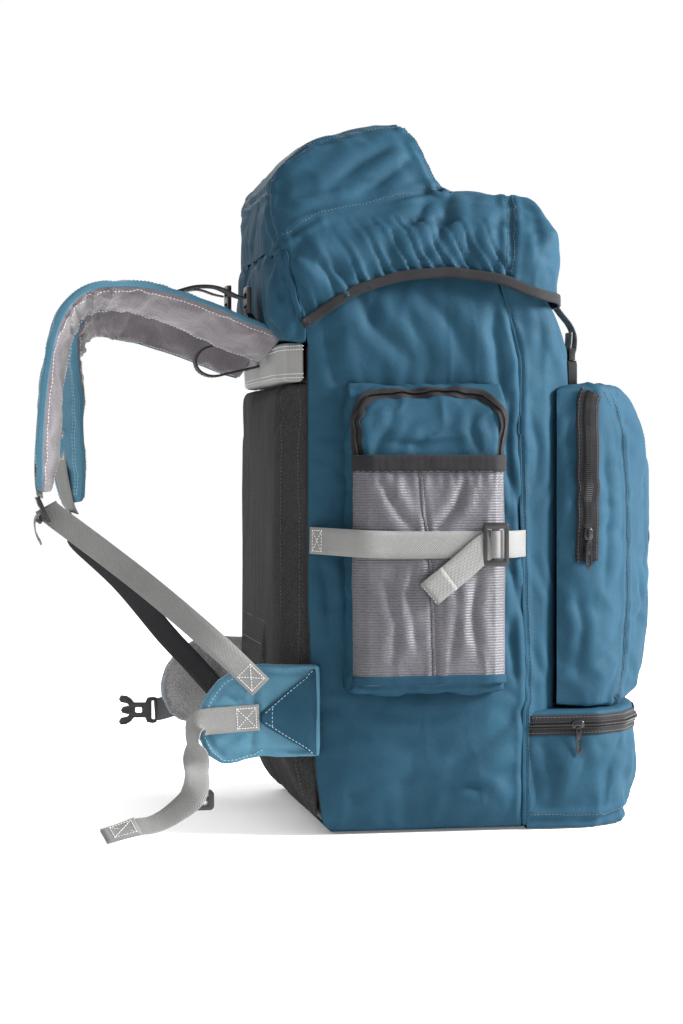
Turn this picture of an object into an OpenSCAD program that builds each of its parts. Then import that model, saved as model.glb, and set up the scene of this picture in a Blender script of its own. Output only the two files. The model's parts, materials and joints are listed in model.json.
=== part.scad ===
// Trekking rucksack: stuffed main bag, lid, zipped pockets, shoulder harness and hip belt.
// Millimetres. +X is the pack's front (away from the wearer), +Y the wearer's right, +Z up.
// The origin is on the floor, under the middle of the base. Left and right share one shape.

/* [Main bag] */
// Width of the main bag between its side panels
bag_w = 320; // [312:2:328]
// Thickness that stands for a sewn fabric wall
wall = 3; // [2:0.5:3.5]
// Height at which the sewn panels end, under the lid
panel_top = 520; // [512:1:521]
// Height of the floor between the main and the bottom compartment
divider_z = 109; // [100:1:112]

/* [Lid] */
// Height of the lid's floor panel
lid_floor_z = 541; // [540:0.5:543]
// Half width of the lid's gathered skirt
skirt_half = 172; // [171:1:176]
// Height of the elastic hem
hem_h = 7; // [4:1:9]

/* [Webbing and hardware] */
// Width of the strap webbing
web_w = 25; // [20:1:26]
// Thickness of the webbing
web_t = 1.5; // [1:0.1:1.8]
// Width of the waist webbing
waist_w = 30; // [25:1:32]
// Radius of the cord lock's button
button_r = 5; // [4:0.5:5.5]

/* [Harness] */
// Width of a shoulder pad
pad_w = 64; // [55:1:66]
// Thickness of a shoulder pad
pad_t = 14; // [10:1:15]
// Thickness of a hip wing
wing_t = 14; // [10:1:14]

/* [Hidden] */
$fn = 32;
half = bag_w / 2;
far = 400;
gap = 0.3;

// Main bag: outline seen from the side, and the plan of its right half.
bag_side = [[-138, 2], [-146, 8], [-153, 60], [-160, 218], [-160, 455], [-172, 505], [-172, 524],
            [96, 524], [98, 497], [104, 480], [112, 455], [114, 415], [112, 300], [105, 120],
            [98, 14], [82, 2]];
bag_half = [[-172, half], [45, half], [70, half - 6], [86, half - 20], [99, half - 52],
            [111, half - 98], [113, 0]];
// The seam between a side panel and the front panel, from the base up.
side_seam = [[46, 3], [46, 112], [50, 122], [46, 216], [41, 376], [42, 442], [28, 499], [22, 521]];
back_line = [[-140, wall], [-146, 10], [-153, 60], [-160, 218], [-160, 455], [-171, 505], [-171, panel_top]];

// Back pad, yoke and the neck that carries the lid.
pad_side = [[-147, 10], [-156, 22], [-174, 66], [-183, 120], [-182, 218], [-181, 422],
            [-160.5, 422], [-160.5, 218], [-153.5, 60], [-147, 13]];
pad_half = [[-140, half - 3], [-163, half - 3], [-176, half - 20], [-183, half - 55], [-185, 0]];
yoke_side = [[-182, 422], [-184, 440], [-180, 457], [-161, 457], [-161, 422]];
neck_side = [[-172.5, 458], [-180, 458], [-187, 472], [-191, 500], [-192, 530], [-190, 536],
             [-176, 536], [-172.5, 524]];
neck_plan = [[-172.5, -half - 3], [-180, -half - 1], [-187, -half + 12], [-191, -half + 40], [-192, -50],
             [-191, 0], [-188, 50], [-183, half - 50], [-180, half - 20], [-178, half], [-172.5, half + 3]];

// Lid: outline from the side, outline from the end, and plan of the right half.
lid_side = [[-197, lid_floor_z], [-197, 562], [-191, 596], [-181, 620], [-152, 646], [-100, 664],
            [-62, 672], [-46, 662], [-36, 636], [-27, 603], [52, 603], [66, 599], [82, 573],
            [98, 543], [105, 515], [106, 497], [106, 440], [-190, 440], [-190, lid_floor_z]];
lid_end_half = [[skirt_half, 440], [skirt_half, 508], [skirt_half - 5, 541], [skirt_half - 22, 568],
                [126, 596], [113, 632], [100, 656], [84, 674], [0, 676]];
lid_half = [[27, skirt_half], [62, 168], [88, 152], [102, 118], [106, 62], [107, 0]];
// The soft lid sits a little askew, so its back edge runs forward on the wearer's right.
lid_back = [[-172, -skirt_half], [-181, -162], [-188, -145], [-195, -110], [-197, -50], [-196, 0],
            [-190, 60], [-182, 110], [-175, 145], [-170, 162], [-164, skirt_half]];
// Lower edge of the skirt, from the back to the front seam.
hem_line = [[-168, 470], [-122, 502], [-76, 517], [-28, 522], [25, 513]];
pocket_region = [[-230, lid_floor_z], [-186, lid_floor_z], [-150, 575], [-60, 598], [-27, 602],
                 [-27, 700], [-230, 700]];
front_region = [[25, 497], [25, 520], [41, 600], [41, 700], [130, 700], [130, 497]];

// Front pocket and bottom compartment.
pocket_side = [[80, 114], [150, 114], [174, 124], [190, 152], [200, 211], [204, 265], [202, 309],
               [196, 345], [184, 380], [168, 408], [150, 419], [80, 419]];
pocket_half = [[80, 150], [124, 150], [150, 128], [178, 98], [196, 60], [204, 0]];
bottom_side = [[46, 0], [158, 0], [157, 14], [163, 24], [172, 43], [178, 77], [187, 85],
               [187, 112], [46, 112]];
bottom_half = [[46, half - 2], [70, half - 4], [120, half - 4], [150, half - 24], [172, half - 60],
               [184, 55], [187, 0]];

// Side pocket and the mesh pocket on it: plan, and outline seen from behind, both from the side panel out.
side_plan = [[-128, half], [-124, half + 28], [-108, half + 41], [6, half + 41], [20, half + 28],
             [24, half]];
side_end = [[half, 420], [half + 12, 420], [half + 26, 404], [half + 36, 370], [half + 41, 300],
            [half + 41, 160], [half + 32, 134], [half, 132]];
mesh_plan = [[-130, half + 14], [-128.5, half + 36], [-112, half + 48], [8, half + 48],
             [23, half + 36], [27, half + 14]];
mesh_z = [146, 339, 352];
strap_line = [[-158, half + 2], [-132, half + 39], [-114, half + 49.5], [10, half + 49.5],
              [25, half + 39], [46, half + 2]];
strap_z = 271;

// Harness routes: points along the middle of each strap, and the way its outer face looks.
left_pad = [[-198, -76, 463], [-220, -78, 471], [-251, -80, 484], [-299, -84, 500], [-337, -88, 503],
            [-364, -90, 495], [-380, -92, 472], [-388, -93, 440], [-393, -94, 404],
            [-397, -95, 348], [-399, -95, 320]];
left_face = [[-0.37, 0.26, 0.9], [-0.36, 0.26, 0.9], [-0.36, 0.26, 0.9], [-0.2, 0.26, 0.94], [-0.1, 0.26, 0.96],
             [-0.6, 0.26, 0.75], [-0.9, 0.26, 0.35], [-0.95, 0.26, 0.15], [-0.96, 0.26, 0.08],
             [-0.97, 0.26, 0.05], [-0.97, 0.26, 0.02]];
right_pad = [[-198, 76, 459], [-233, 78, 474], [-284, 80, 490], [-324, 82, 493], [-348, 84, 482],
             [-361, 85, 458], [-367, 86, 409], [-368, 87, 358], [-362, 88, 306]];
right_face = [[-0.26, 0.6, 0.75], [-0.26, 0.65, 0.71], [-0.2, 0.68, 0.7], [-0.25, 0.6, 0.76],
              [-0.6, 0.3, 0.7], [-0.9, 0, 0.4], [-0.93, -0.35, 0], [-0.9, -0.42, 0], [-0.9, -0.42, -0.1]];
left_web = [[-388, -99, 295], [-345, -118, 262], [-300, -152, 226], [-250, -192, 182], [-207, -182, 141]];
right_web = [[-352, 92, 262], [-310, 101, 222], [-265, 114, 168], [-235, 128, 136], [-208, 152, 106]];
left_lifter = [[-276, -82, 504], [-256, -81, 512], [-236, -79, 512], [-219, -77, 505]];
right_lifter = [[-276, 80, 510], [-256, 79, 519], [-236, 78, 522], [-219, 77, 516]];
haul_route = [[-187, 0, 453], [-206, 0, 458], [-226, 0, 461], [-240, 0, 457], [-247, 0, 447],
              [-243, 0, 436], [-230, 0, 431], [-210, 0, 435], [-187, 0, 440]];
daisy_route = [[203, 0, 340], [206, 0, 330], [215, 0, 322], [215, 0, 308], [206.5, 0, 300], [206.5, 0, 286],
               [216, 0, 278], [216, 0, 262], [206.5, 0, 254], [205.5, 0, 240], [213, 0, 232], [211, 0, 216],
               [202, 0, 208], [199, 0, 196], [206, 0, 188], [203, 0, 172], [194, 0, 164]];

// Hip belt.
wing_root = [-204.5, -(half + 7), 0];
root_outline = [[-150, 160], [-200, 161], [-200, 80], [-150, 73]];
wing_outline = [[-205, 161], [-228, 158], [-246, 147], [-260, 128], [-265, 112], [-264, 96],
                [-256, 78], [-240, 68], [-205, 80]];
wing_flare = 8;
waist_route = [[-208, -176, 112], [-262, -184, 109], [-269, -187, 104], [-270.5, -191, 84],
               [-268, -192, 64], [-269, -193, 46], [-282, -195, 34], [-296, -198, 24], [-308, -201, 20],
               [-320, -203, 21], [-336, -206, 15], [-350, -208, 12]];
waist_face = [[-0.14, -0.99, 0], [-0.14, -0.99, 0], [-0.7, -0.7, 0], [-0.7, -0.7, 0], [0.3, -0.95, 0],
              [0, -1, 0.1], [-0.45, -0.75, 0.5], [-0.45, -0.6, 0.65], [-0.1, -0.45, 0.9],
              [0, -0.4, 0.9], [-0.3, -0.35, 0.9], [-0.1, -0.3, 0.95]];

// Lid buckles, on the front of the bag.
buckle_y = 62;
buckle_x = [113.2, 122];
buckle_z = [420.3, 446, 458];
lid_strap_route = [[105, 0, 496], [113, 0, 485], [123.2, 0, 475], [123.8, 0, 462], [123.8, 0, 448]];

function backwards(list) = [for (i = [len(list) - 1 : -1 : 0]) list[i]];
function both_halves(list) = concat(list, [for (p = backwards(list)) if (p[1] != 0) [p[0], -p[1]]]);
function both_ends(list) = concat(list, [for (p = backwards(list)) if (p[0] != 0) [-p[0], p[1]]]);
function shifted(list, x, z) = [for (p = list) [p[0] + x, p[1] + z]];
function unit(v) = v / norm(v);
lid_plan = concat(both_halves(lid_half), lid_back);
function along(pts, i) = unit(pts[min(i + 1, len(pts) - 1)] - pts[max(i - 1, 0)]);
function y_mirrored(list) = [for (p = list) [p[0], -p[1], p[2]]];

// A 2D outline in X and Z, drawn out from y0 to y1.
module across(y0, y1) {
  translate([0, y1, 0]) rotate([90, 0, 0]) linear_extrude(y1 - y0) children();
}
// A 2D outline in Y and Z, drawn out from x0 to x1.
module lengthwise(x0, x1) {
  translate([x0, 0, 0]) rotate([90, 0, 90]) linear_extrude(x1 - x0) children();
}
module upright(z0, z1) {
  translate([0, 0, z0]) linear_extrude(z1 - z0) children();
}
module box_between(a, b) {
  translate([min(a[0], b[0]), min(a[1], b[1]), min(a[2], b[2])])
    cube([abs(b[0] - a[0]), abs(b[1] - a[1]), abs(b[2] - a[2])]);
}
module left_and_right() {
  children();
  mirror([0, 1, 0]) children();
}

// A flat strap swept along its route: w wide, t thick, with its outer face turned to `face`.
module strap(pts, face, w, t) {
  n = len(pts);
  rings = [for (i = [0 : n - 1])
    let (d = along(pts, i), s = unit(cross(d, face[i])), m = cross(s, d))
    [pts[i] - s * w / 2 - m * t / 2, pts[i] + s * w / 2 - m * t / 2,
     pts[i] + s * w / 2 + m * t / 2, pts[i] - s * w / 2 + m * t / 2]];
  sides = [for (i = [0 : n - 2], k = [0 : 3])
    let (a = 4 * i + k, b = 4 * i + (k + 1) % 4)
    each [[a, b, b + 4], [a, b + 4, a + 4]]];
  e = 4 * (n - 1);
  polyhedron([for (r = rings) each r],
             concat(sides, [[2, 1, 0], [3, 2, 0], [e, e + 1, e + 2], [e, e + 2, e + 3]]));
}
function facing(pts, v) = [for (p = pts) v];
// Outer face of a strap that lies in an XZ plane: the route's left-hand side, seen from -Y.
function outward(pts, way) = [for (i = [0 : len(pts) - 1]) way * cross(along(pts, i), [0, 1, 0])];

// ---- main bag ----
module bag_form(i) {
  intersection() {
    across(-far, far) offset(delta = -i) polygon(bag_side);
    upright(-1, 600) offset(delta = -i) polygon(both_halves(bag_half));
  }
}
module side_panel() {
  across(-half, -half + wall) polygon(concat(back_line, backwards(side_seam)));
}
module side_panel_left() { color("#47708a") side_panel(); }
module side_panel_right() { color("#47708a") mirror([0, 1, 0]) side_panel(); }
module front_panel() {
  color("#47708a") intersection() {
    difference() { bag_form(0); bag_form(wall); }
    across(-far, far) polygon(concat(side_seam, [[140, panel_top], [140, 3]]));
    upright(112, panel_top) square([600, bag_w + 2], center = true);
  }
}
module base_panel() {
  color("#47708a") upright(0, wall) polygon([[-140, -half], [46, -half], [46, half], [-140, half]]);
}
module divider_floor() {
  color("#9aa0a4") intersection() {
    bag_form(wall + 0.2);
    box_between([-149, -half, divider_z], [far, half, divider_z + wall]);
  }
}

// ---- back ----
module pad_form() {
  intersection() {
    across(-far, far) polygon(pad_side);
    upright(0, 430) polygon(both_halves(pad_half));
  }
}
module foam_form() {
  intersection() {
    translate([2, 0, 0]) pad_form();
    box_between([-300, -half + 5, 14], [-100, half - 5, 419]);
  }
}
module back_panel() { color("#404040") difference() { pad_form(); foam_form(); } }
module back_foam() { color("#d8d4c6") intersection() { pad_form(); foam_form(); } }
module back_yoke() {
  color("#b3b3b1") intersection() {
    across(-far, far) polygon(yoke_side);
    upright(400, 460) polygon(both_halves(pad_half));
  }
}
module neck_panel() {
  color("#4f7a90") difference() {
    intersection() {
      across(-far, far) polygon(neck_side);
      upright(450, 540) polygon(neck_plan);
    }
    box_between([-230, -half + 42, 450], [-182, half - 42, 488]);
  }
}
module sheet_band(x0, t, w, z0, z1) {
  line = [[-146, 12], [-153, 60], [-160, 218], [-160, 455]];
  intersection() {
    across(-w / 2, w / 2) polygon(concat(shifted(line, x0, 0), backwards(shifted(line, x0 + t, 0))));
    box_between([-300, -w, z0], [0, w, z1]);
  }
}
module frame_sheet() { color("#20242a") sheet_band(0, 1.5, bag_w - 2 * wall, 14, 454); }
module back_stays() {
  color("#b9bdc0") for (s = [-1, 1]) translate([0, s * 60, 0]) sheet_band(1.5, 3, 20, 24, 440);
}
module lumbar_pad() {
  color("#353535") intersection() {
    across(-75, 75) polygon([[-183, 96], [-189, 108], [-191, 140], [-188, 186], [-182.3, 200], [-183, 120]]);
    upright(90, 210) polygon([[-200, -60], [-184, -75], [-175, -75], [-175, 75], [-184, 75], [-200, 60]]);
  }
}

// ---- mouth of the main compartment ----
// Plan of the drawstring collar's right half.
collar_half = [[-172, half], [38, half], [58, half - 10], [72, half - 26], [84, half - 56], [90, half - 98],
               [91, 0]];
collar_mid = -30;
module collar_form(i, z0, z1) {
  translate([collar_mid, 0, z0]) linear_extrude(z1 - z0, scale = 0.9)
    translate([-collar_mid, 0]) offset(delta = -i) polygon(both_halves(collar_half));
}
module collar() {
  color("#2f4f60") {
    difference() {
      collar_form(14, 490, 532);
      collar_form(16.5, 489.9, 532.1);
    }
    difference() {
      intersection() { bag_form(wall); upright(487, 490) square(700, center = true); }
      upright(480, 495) offset(delta = -16.5) polygon(both_halves(collar_half));
    }
  }
}
module drawcord() {
  color("#1c1c1e") translate([collar_mid, 0, 532]) linear_extrude(3.5) scale([0.9, 0.9])
    translate([-collar_mid, 0]) difference() {
      offset(delta = -13) polygon(both_halves(collar_half));
      offset(delta = -17) polygon(both_halves(collar_half));
    }
}
lock_at = [55, -9, 528];
module cord_lock_body() {
  color("#242428") difference() {
    translate(lock_at) rotate([-90, 0, 0]) cylinder(r = 7.5, h = 18);
    translate(lock_at + [0, 8, 0]) rotate([-90, 0, 0]) cylinder(r = button_r + 0.05, h = 11);
  }
}
module cord_lock_button() {
  color("#303034") translate(lock_at + [0, 12.5, 0]) rotate([-90, 0, 0]) cylinder(r = button_r, h = 11);
}

// ---- front pocket ----
module pocket_form(i) {
  intersection() {
    across(-far, far) offset(delta = -i) polygon(pocket_side);
    upright(100, 430) offset(delta = -i) polygon(both_halves(pocket_half));
  }
}
module front_pocket() {
  color("#45697f") difference() {
    pocket_form(0);
    pocket_form(wall);
    translate([-10, 0, 0]) pocket_form(wall);
    bag_form(0);
  }
}
zip_x = 110;
slider_z = 278;
module front_zip() {
  color("#232324") box_between([zip_x - 11, -150.8, 253], [zip_x + 11, -150, 410]);
}
module front_slider() {
  color("#2b2b2d") box_between([zip_x - 4.5, -154, slider_z - 6], [zip_x + 4.5, -151, slider_z + 6]);
}
module front_pull() {
  color("#2b2b2d") box_between([zip_x - 3, -154.2, 246], [zip_x + 3, -152.8, slider_z - 7.6]);
}
module gear_loops() {
  color("#26262a") strap(daisy_route, outward(daisy_route, 1), 20, 1.4);
}

// ---- bottom compartment ----
module bottom_form(i) {
  intersection() {
    across(-far, far) offset(delta = -i) polygon(bottom_side);
    upright(-1, 120) offset(delta = -i) polygon(both_halves(bottom_half));
  }
}
module bottom_compartment() {
  color("#568297") difference() {
    bottom_form(0);
    bottom_form(wall);
    translate([-10, 0, 0]) bottom_form(wall);
    bag_form(wall);
    translate([0, 0, 10]) intersection() { bag_form(0); upright(90, 104) square(700, center = true); }
  }
}
module bottom_zip() {
  color("#303232") intersection() {
    upright(88, 107) difference() {
      offset(delta = 0.8) polygon(both_halves(bottom_half));
      polygon(both_halves(bottom_half));
    }
    box_between([60, -far, 80], [far, far, 120]);
  }
}
bottom_slider_x = 99;
bottom_face = half - 4;
module bottom_slider() {
  color("#2b2b2d") box_between([bottom_slider_x - 6, -bottom_face - 4, 94],
                               [bottom_slider_x + 6, -bottom_face - 1.1, 103]);
}
module bottom_pull() {
  color("#2b2b2d") box_between([bottom_slider_x - 3, -bottom_face - 3.2, 70],
                               [bottom_slider_x + 3, -bottom_face - 1.8, 92.4]);
}

// ---- side pockets ----
module side_form(i) {
  mirror([0, 1, 0]) intersection() {
    lengthwise(-far, far) offset(delta = -i) polygon(side_end);
    upright(100, 430) offset(delta = -i) polygon(side_plan);
  }
}
module side_pocket() {
  difference() {
    side_form(0);
    side_form(wall);
    translate([0, 10, 0]) side_form(wall);
  }
}
module side_pocket_left() { color("#4f7a90") side_pocket(); }
module side_pocket_right() { color("#4f7a90") mirror([0, 1, 0]) side_pocket(); }
module side_zips() {
  color("#232324") left_and_right() intersection() {
    difference() { side_form(-0.8); side_form(0); }
    box_between([-far, -half - 26, 286], [far, -half - 16, 430]);
  }
}
module mesh_ring(i, t) {
  mirror([0, 1, 0]) intersection() {
    difference() {
      offset(delta = i) polygon(mesh_plan);
      offset(delta = i - t) polygon(mesh_plan);
    }
    translate([-300, half + 20]) square([600, 100]);
  }
}
module mesh_pocket() {
  upright(mesh_z[0], mesh_z[1]) mesh_ring(0, web_t);
  difference() {
    upright(mesh_z[0] - 1.5, mesh_z[0]) mirror([0, 1, 0]) intersection() {
      polygon(mesh_plan);
      translate([-300, half + 20]) square([600, 100]);
    }
    side_form(0);
  }
}
module mesh_pocket_left() { color("#818184") mesh_pocket(); }
module mesh_pocket_right() { color("#818184") mirror([0, 1, 0]) mesh_pocket(); }
module pocket_elastics() {
  color("#191918") left_and_right() upright(mesh_z[1], mesh_z[2]) mesh_ring(0, 2);
}
module compression_straps() {
  color("#929291") left_and_right() upright(strap_z - web_w / 2, strap_z + web_w / 2)
    mirror([0, 1, 0])
      polygon(concat(strap_line, backwards(shifted(strap_line, 0, web_t))));
}
module triglide() {
  difference() {
    box_between([-6, -half - 54.6, strap_z - 20], [18, -half - 51.4, strap_z + 20]);
    for (x = [-2.5, 8]) box_between([x, -half - 60, strap_z - 14], [x + 5.5, -half - 40, strap_z + 14]);
  }
}
module triglide_buckles() { color("#28272c") left_and_right() triglide(); }
tail_route = [[-15, -half - 52.6, 260], [-26, -half - 53, 254], [-40, -half - 54, 240], [-55, -half - 55, 228]];
module compression_tails() {
  color("#929291") left_and_right() strap(tail_route, facing(tail_route, [0, -1, 0]), web_w, web_t);
}

// ---- lid ----
module lid_form(i) {
  intersection() {
    across(-far, far) offset(delta = -i) polygon(lid_side);
    lengthwise(-far, far) offset(delta = -i) polygon(both_ends(lid_end_half));
    upright(430, 700) offset(delta = -i) polygon(lid_plan);
  }
}
module lid_shell() {
  difference() {
    lid_form(0);
    lid_form(wall);
    translate([0, 0, -20]) intersection() {
      lid_form(wall);
      upright(0, lid_floor_z + 30) square(800, center = true);
    }
  }
}
// Keeps what is above the lid's floor or outside the bag, so nothing hangs inside the side panels.
module clear_of_bag() {
  intersection() {
    children();
    union() {
      box_between([-far, -far, lid_floor_z], [far, far, 700]);
      box_between([-far, -far, 400], [far, -half - 3.5, 700]);
      box_between([-far, half + 3.5, 400], [far, far, 700]);
      box_between([55, -far, 400], [far, far, 700]);
    }
  }
}
module lid_pocket() {
  color("#426b82") intersection() { lid_shell(); across(-far, far) polygon(pocket_region); }
}
module lid_front() {
  color("#5c8ba2") clear_of_bag() intersection() { lid_shell(); across(-far, far) polygon(front_region); }
}
module lid_skirt() {
  color("#426b82") clear_of_bag() difference() {
    intersection() {
      lid_shell();
      across(-far, far) polygon(concat(hem_line, [[25, 520], [41, 600], [41, 700], [-188, 700], [-188, 536]]));
    }
    across(-far, far) polygon(pocket_region);
  }
}
module lid_hem() {
  color("#191918") clear_of_bag() intersection() {
    lid_shell();
    across(-far, far) polygon(concat(hem_line, backwards(shifted(hem_line, 0, -hem_h))));
  }
}
module lid_floor() {
  color("#2f4f60") upright(lid_floor_z, lid_floor_z + 2.5) intersection() {
    offset(delta = -4.5) polygon(lid_plan);
    translate([-186, -157]) square([280, 314]);
  }
}
lid_zip_x = -17;
lid_top_z = 603;
module lid_zip() {
  color("#232324") box_between([lid_zip_x - 8, -96, lid_top_z], [lid_zip_x + 8, 96, lid_top_z + 0.8]);
}
module lid_slider() {
  color("#2b2b2d") box_between([lid_zip_x - 4, -89, lid_top_z + 1], [lid_zip_x + 4, -79, lid_top_z + 4]);
}
module lid_pull() {
  color("#2b2b2d") box_between([lid_zip_x - 3, -112, lid_top_z + 1.2], [lid_zip_x + 3, -91, lid_top_z + 2.6]);
}
module lid_straps() {
  color("#929291") for (s = [-1, 1]) translate([0, s * buckle_y, 0])
    strap(lid_strap_route, outward(lid_strap_route, -1), web_w - 3, 1.2);
}

// ---- lid buckles ----
module lid_buckle_housings() {
  color("#28272c") for (s = [-1, 1]) translate([0, s * buckle_y, 0]) difference() {
    box_between([buckle_x[0], -14, buckle_z[0]], [buckle_x[1], 14, buckle_z[1]]);
    box_between([buckle_x[0] + 2, -11, buckle_z[0] + 6], [buckle_x[1] - 2, 11, buckle_z[1] + 1]);
  }
}
module lid_prong() {
  box_between([buckle_x[0] + 1.5, -12, buckle_z[1] + gap], [buckle_x[1] - 1.5, 12, buckle_z[2]]);
  for (y = [-10.4, 5.4])
    box_between([buckle_x[0] + 2.5, y, buckle_z[0] + 9], [buckle_x[1] - 2.5, y + 5, buckle_z[1] + gap]);
}
module lid_prong_left() { color("#303034") translate([0, -buckle_y, 0]) lid_prong(); }
module lid_prong_right() { color("#303034") translate([0, buckle_y, 0]) lid_prong(); }

// ---- shoulder harness ----
module shoulder_pad_left() { color("#70a5ba") strap(left_pad, left_face, pad_w, pad_t); }
module shoulder_pad_right() { color("#70a5ba") strap(right_pad, right_face, pad_w, pad_t); }
module ladder_lock() {
  difference() {
    translate([-3, -17, -13]) cube([6, 34, 26]);
    for (z = [-8.5, 2.5]) translate([-10, -13.5, z]) cube([20, 27, 6]);
  }
}
module ladder_lock_left() { color("#242428") translate([-401, -95, 302]) rotate([0, -24, 0]) ladder_lock(); }
module ladder_lock_right() { color("#242428") translate([-360, 89, 283]) rotate([0, -30, 0]) ladder_lock(); }
module strap_webbing_left() {
  color("#929291") strap(left_web, facing(left_web, [-0.2, -1, 0.1]), web_w, web_t);
  color("#242428") strap(left_lifter, outward(left_lifter, -1), 20, 1.2);
}
module strap_webbing_right() {
  color("#343232") strap(right_web, facing(right_web, [-0.1, -1, -0.1]), web_w, web_t);
  color("#242428") strap(right_lifter, outward(right_lifter, -1), 20, 1.2);
}
// The right lock sits higher, clear of the pad that leans towards it.
right_lock_rise = 12;
module load_lifter_locks() {
  color("#242428") for (y = [-75, 75]) translate([0, y, y > 0 ? right_lock_rise : 0]) difference() {
    box_between([-208, -14, 486], [-202, 14, 514]);
    for (z = [490, 502]) box_between([-215, -11, z], [-195, 11, z + 7]);
  }
}
module haul_loop() { color("#3a3a3c") strap(haul_route, outward(haul_route, -1), 20, 1.6); }

// ---- hip belt ----
module hip_roots() {
  color("#41677d") left_and_right() across(-half - wing_t, -half) polygon(root_outline);
}
module wing() {
  translate(wing_root) rotate([0, 0, wing_flare]) translate(-wing_root)
    across(-half - wing_t, -half) polygon(wing_outline);
}
module hip_wing_left() { color("#6e9fb4") wing(); }
module hip_wing_right() { color("#8a8a8c") mirror([0, 1, 0]) wing(); }
module waist_webbing_left() { color("#929291") strap(waist_route, waist_face, waist_w - 8, web_t); }
module waist_buckle_socket() {
  color("#242428") difference() {
    box_between([-280, -184, 30], [-250, -175, 48]);
    box_between([-277, -182, 35], [-253, -177, 50]);
  }
}
module waist_buckle_prong() {
  color("#242428") translate([-268, 180, 82]) rotate([0, 0, -wing_flare]) {
    box_between([-12, -5, -13], [0, 5, 13]);
    box_between([-30, -3, -10], [-12, 3, 10]);
    box_between([-40, -5, -17], [-30, 5, 17]);
  }
}

side_panel_left();
side_panel_right();
front_panel();
base_panel();
back_panel();
back_foam();
back_yoke();
neck_panel();
frame_sheet();
back_stays();
lumbar_pad();
collar();
drawcord();
cord_lock_body();
cord_lock_button();
divider_floor();
front_pocket();
front_zip();
front_slider();
front_pull();
bottom_compartment();
bottom_zip();
bottom_slider();
bottom_pull();
side_pocket_left();
side_pocket_right();
side_zips();
mesh_pocket_left();
mesh_pocket_right();
pocket_elastics();
compression_straps();
triglide_buckles();
compression_tails();
gear_loops();
lid_buckle_housings();
lid_prong_left();
lid_prong_right();
load_lifter_locks();
haul_loop();
lid_pocket();
lid_skirt();
lid_front();
lid_floor();
lid_hem();
lid_zip();
lid_straps();
lid_slider();
lid_pull();
shoulder_pad_left();
shoulder_pad_right();
ladder_lock_left();
ladder_lock_right();
strap_webbing_left();
strap_webbing_right();
hip_roots();
hip_wing_left();
hip_wing_right();
waist_webbing_left();
waist_buckle_socket();
waist_buckle_prong();
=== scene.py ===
# %% [markdown]
# # Stuffed trekking rucksack: fabric, padding and hardware around the CAD frame
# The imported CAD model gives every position. Each soft CAD solid is replaced by a sewn, filled piece
# that rides on the same body; hard parts keep their CAD shape or get a detailed twin.
# Numbers in the builders below are millimetres, and become metres when a mesh is made.

# %%
import itertools
import json
import math

import bmesh
import bpy
import numpy as np
from mathutils import Matrix, Vector
from mathutils.bvhtree import BVHTree

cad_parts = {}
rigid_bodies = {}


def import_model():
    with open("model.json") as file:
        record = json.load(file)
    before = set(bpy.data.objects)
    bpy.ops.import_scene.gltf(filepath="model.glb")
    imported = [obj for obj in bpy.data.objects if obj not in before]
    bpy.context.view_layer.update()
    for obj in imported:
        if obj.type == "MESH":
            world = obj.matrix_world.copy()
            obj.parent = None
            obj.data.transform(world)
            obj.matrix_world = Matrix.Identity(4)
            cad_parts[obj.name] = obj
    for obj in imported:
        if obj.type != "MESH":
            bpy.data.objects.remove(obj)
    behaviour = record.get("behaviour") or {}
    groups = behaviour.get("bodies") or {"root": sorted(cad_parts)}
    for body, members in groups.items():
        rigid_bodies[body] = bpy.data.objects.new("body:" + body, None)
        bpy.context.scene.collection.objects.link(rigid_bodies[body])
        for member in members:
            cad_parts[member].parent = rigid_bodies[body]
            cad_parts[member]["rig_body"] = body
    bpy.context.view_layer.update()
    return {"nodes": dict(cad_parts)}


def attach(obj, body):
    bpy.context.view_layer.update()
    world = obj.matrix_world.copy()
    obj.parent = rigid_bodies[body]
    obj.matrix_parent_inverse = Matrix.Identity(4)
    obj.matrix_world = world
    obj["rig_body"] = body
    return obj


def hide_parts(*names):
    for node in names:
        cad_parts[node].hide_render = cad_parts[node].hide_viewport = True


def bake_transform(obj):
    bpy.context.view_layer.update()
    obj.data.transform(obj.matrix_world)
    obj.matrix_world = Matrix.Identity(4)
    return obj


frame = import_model()
scene = bpy.context.scene

# %% [markdown]
# ## Numbers shared with the CAD model
# Outlines in X-Z (seen from the side), Y-Z (seen from behind) and X-Y (plan).

# %%
BACK_LINE = [(2, -138), (10, -146), (60, -153), (218, -160), (455, -160), (505, -171), (521, -171)]
SEAM_LINE = [(3, 46), (112, 46), (122, 50), (216, 46), (376, 41), (442, 42), (499, 28), (521, 22)]
FRONT_LINE = [(2, 82), (14, 98), (120, 105), (300, 112), (415, 114), (455, 112), (480, 101), (497, 91), (522, 86)]
BAG_PLAN = [(-172, 160), (45, 160), (70, 154), (86, 140), (99, 108), (111, 62), (113, 0)]
PAD_SIDE = [(-149, 10), (-156, 22), (-174, 66), (-183, 120), (-182, 218), (-181, 422), (-149, 422)]
PAD_PLAN = [(-140, 157), (-163, 157), (-176, 140), (-183, 105), (-185, 0)]
NECK_SIDE = [(-161, 458), (-180, 458), (-187, 472), (-191, 500), (-192, 530), (-191, 549), (-161, 549)]
NECK_PLAN = [(-161, -163), (-180, -161), (-187, -148), (-191, -120), (-192, -50), (-191, 0), (-188, 50),
             (-183, 110),
             (-180, 140), (-178, 160), (-161, 163)]
LID_SIDE = [(-197, 541), (-197, 562), (-191, 596), (-181, 620), (-152, 646), (-100, 664), (-62, 672),
            (-46, 662), (-36, 636), (-27, 603), (52, 603), (66, 599), (78, 573), (89, 543), (94, 515),
            (95, 497), (95, 440), (-190, 440), (-190, 541)]
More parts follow.
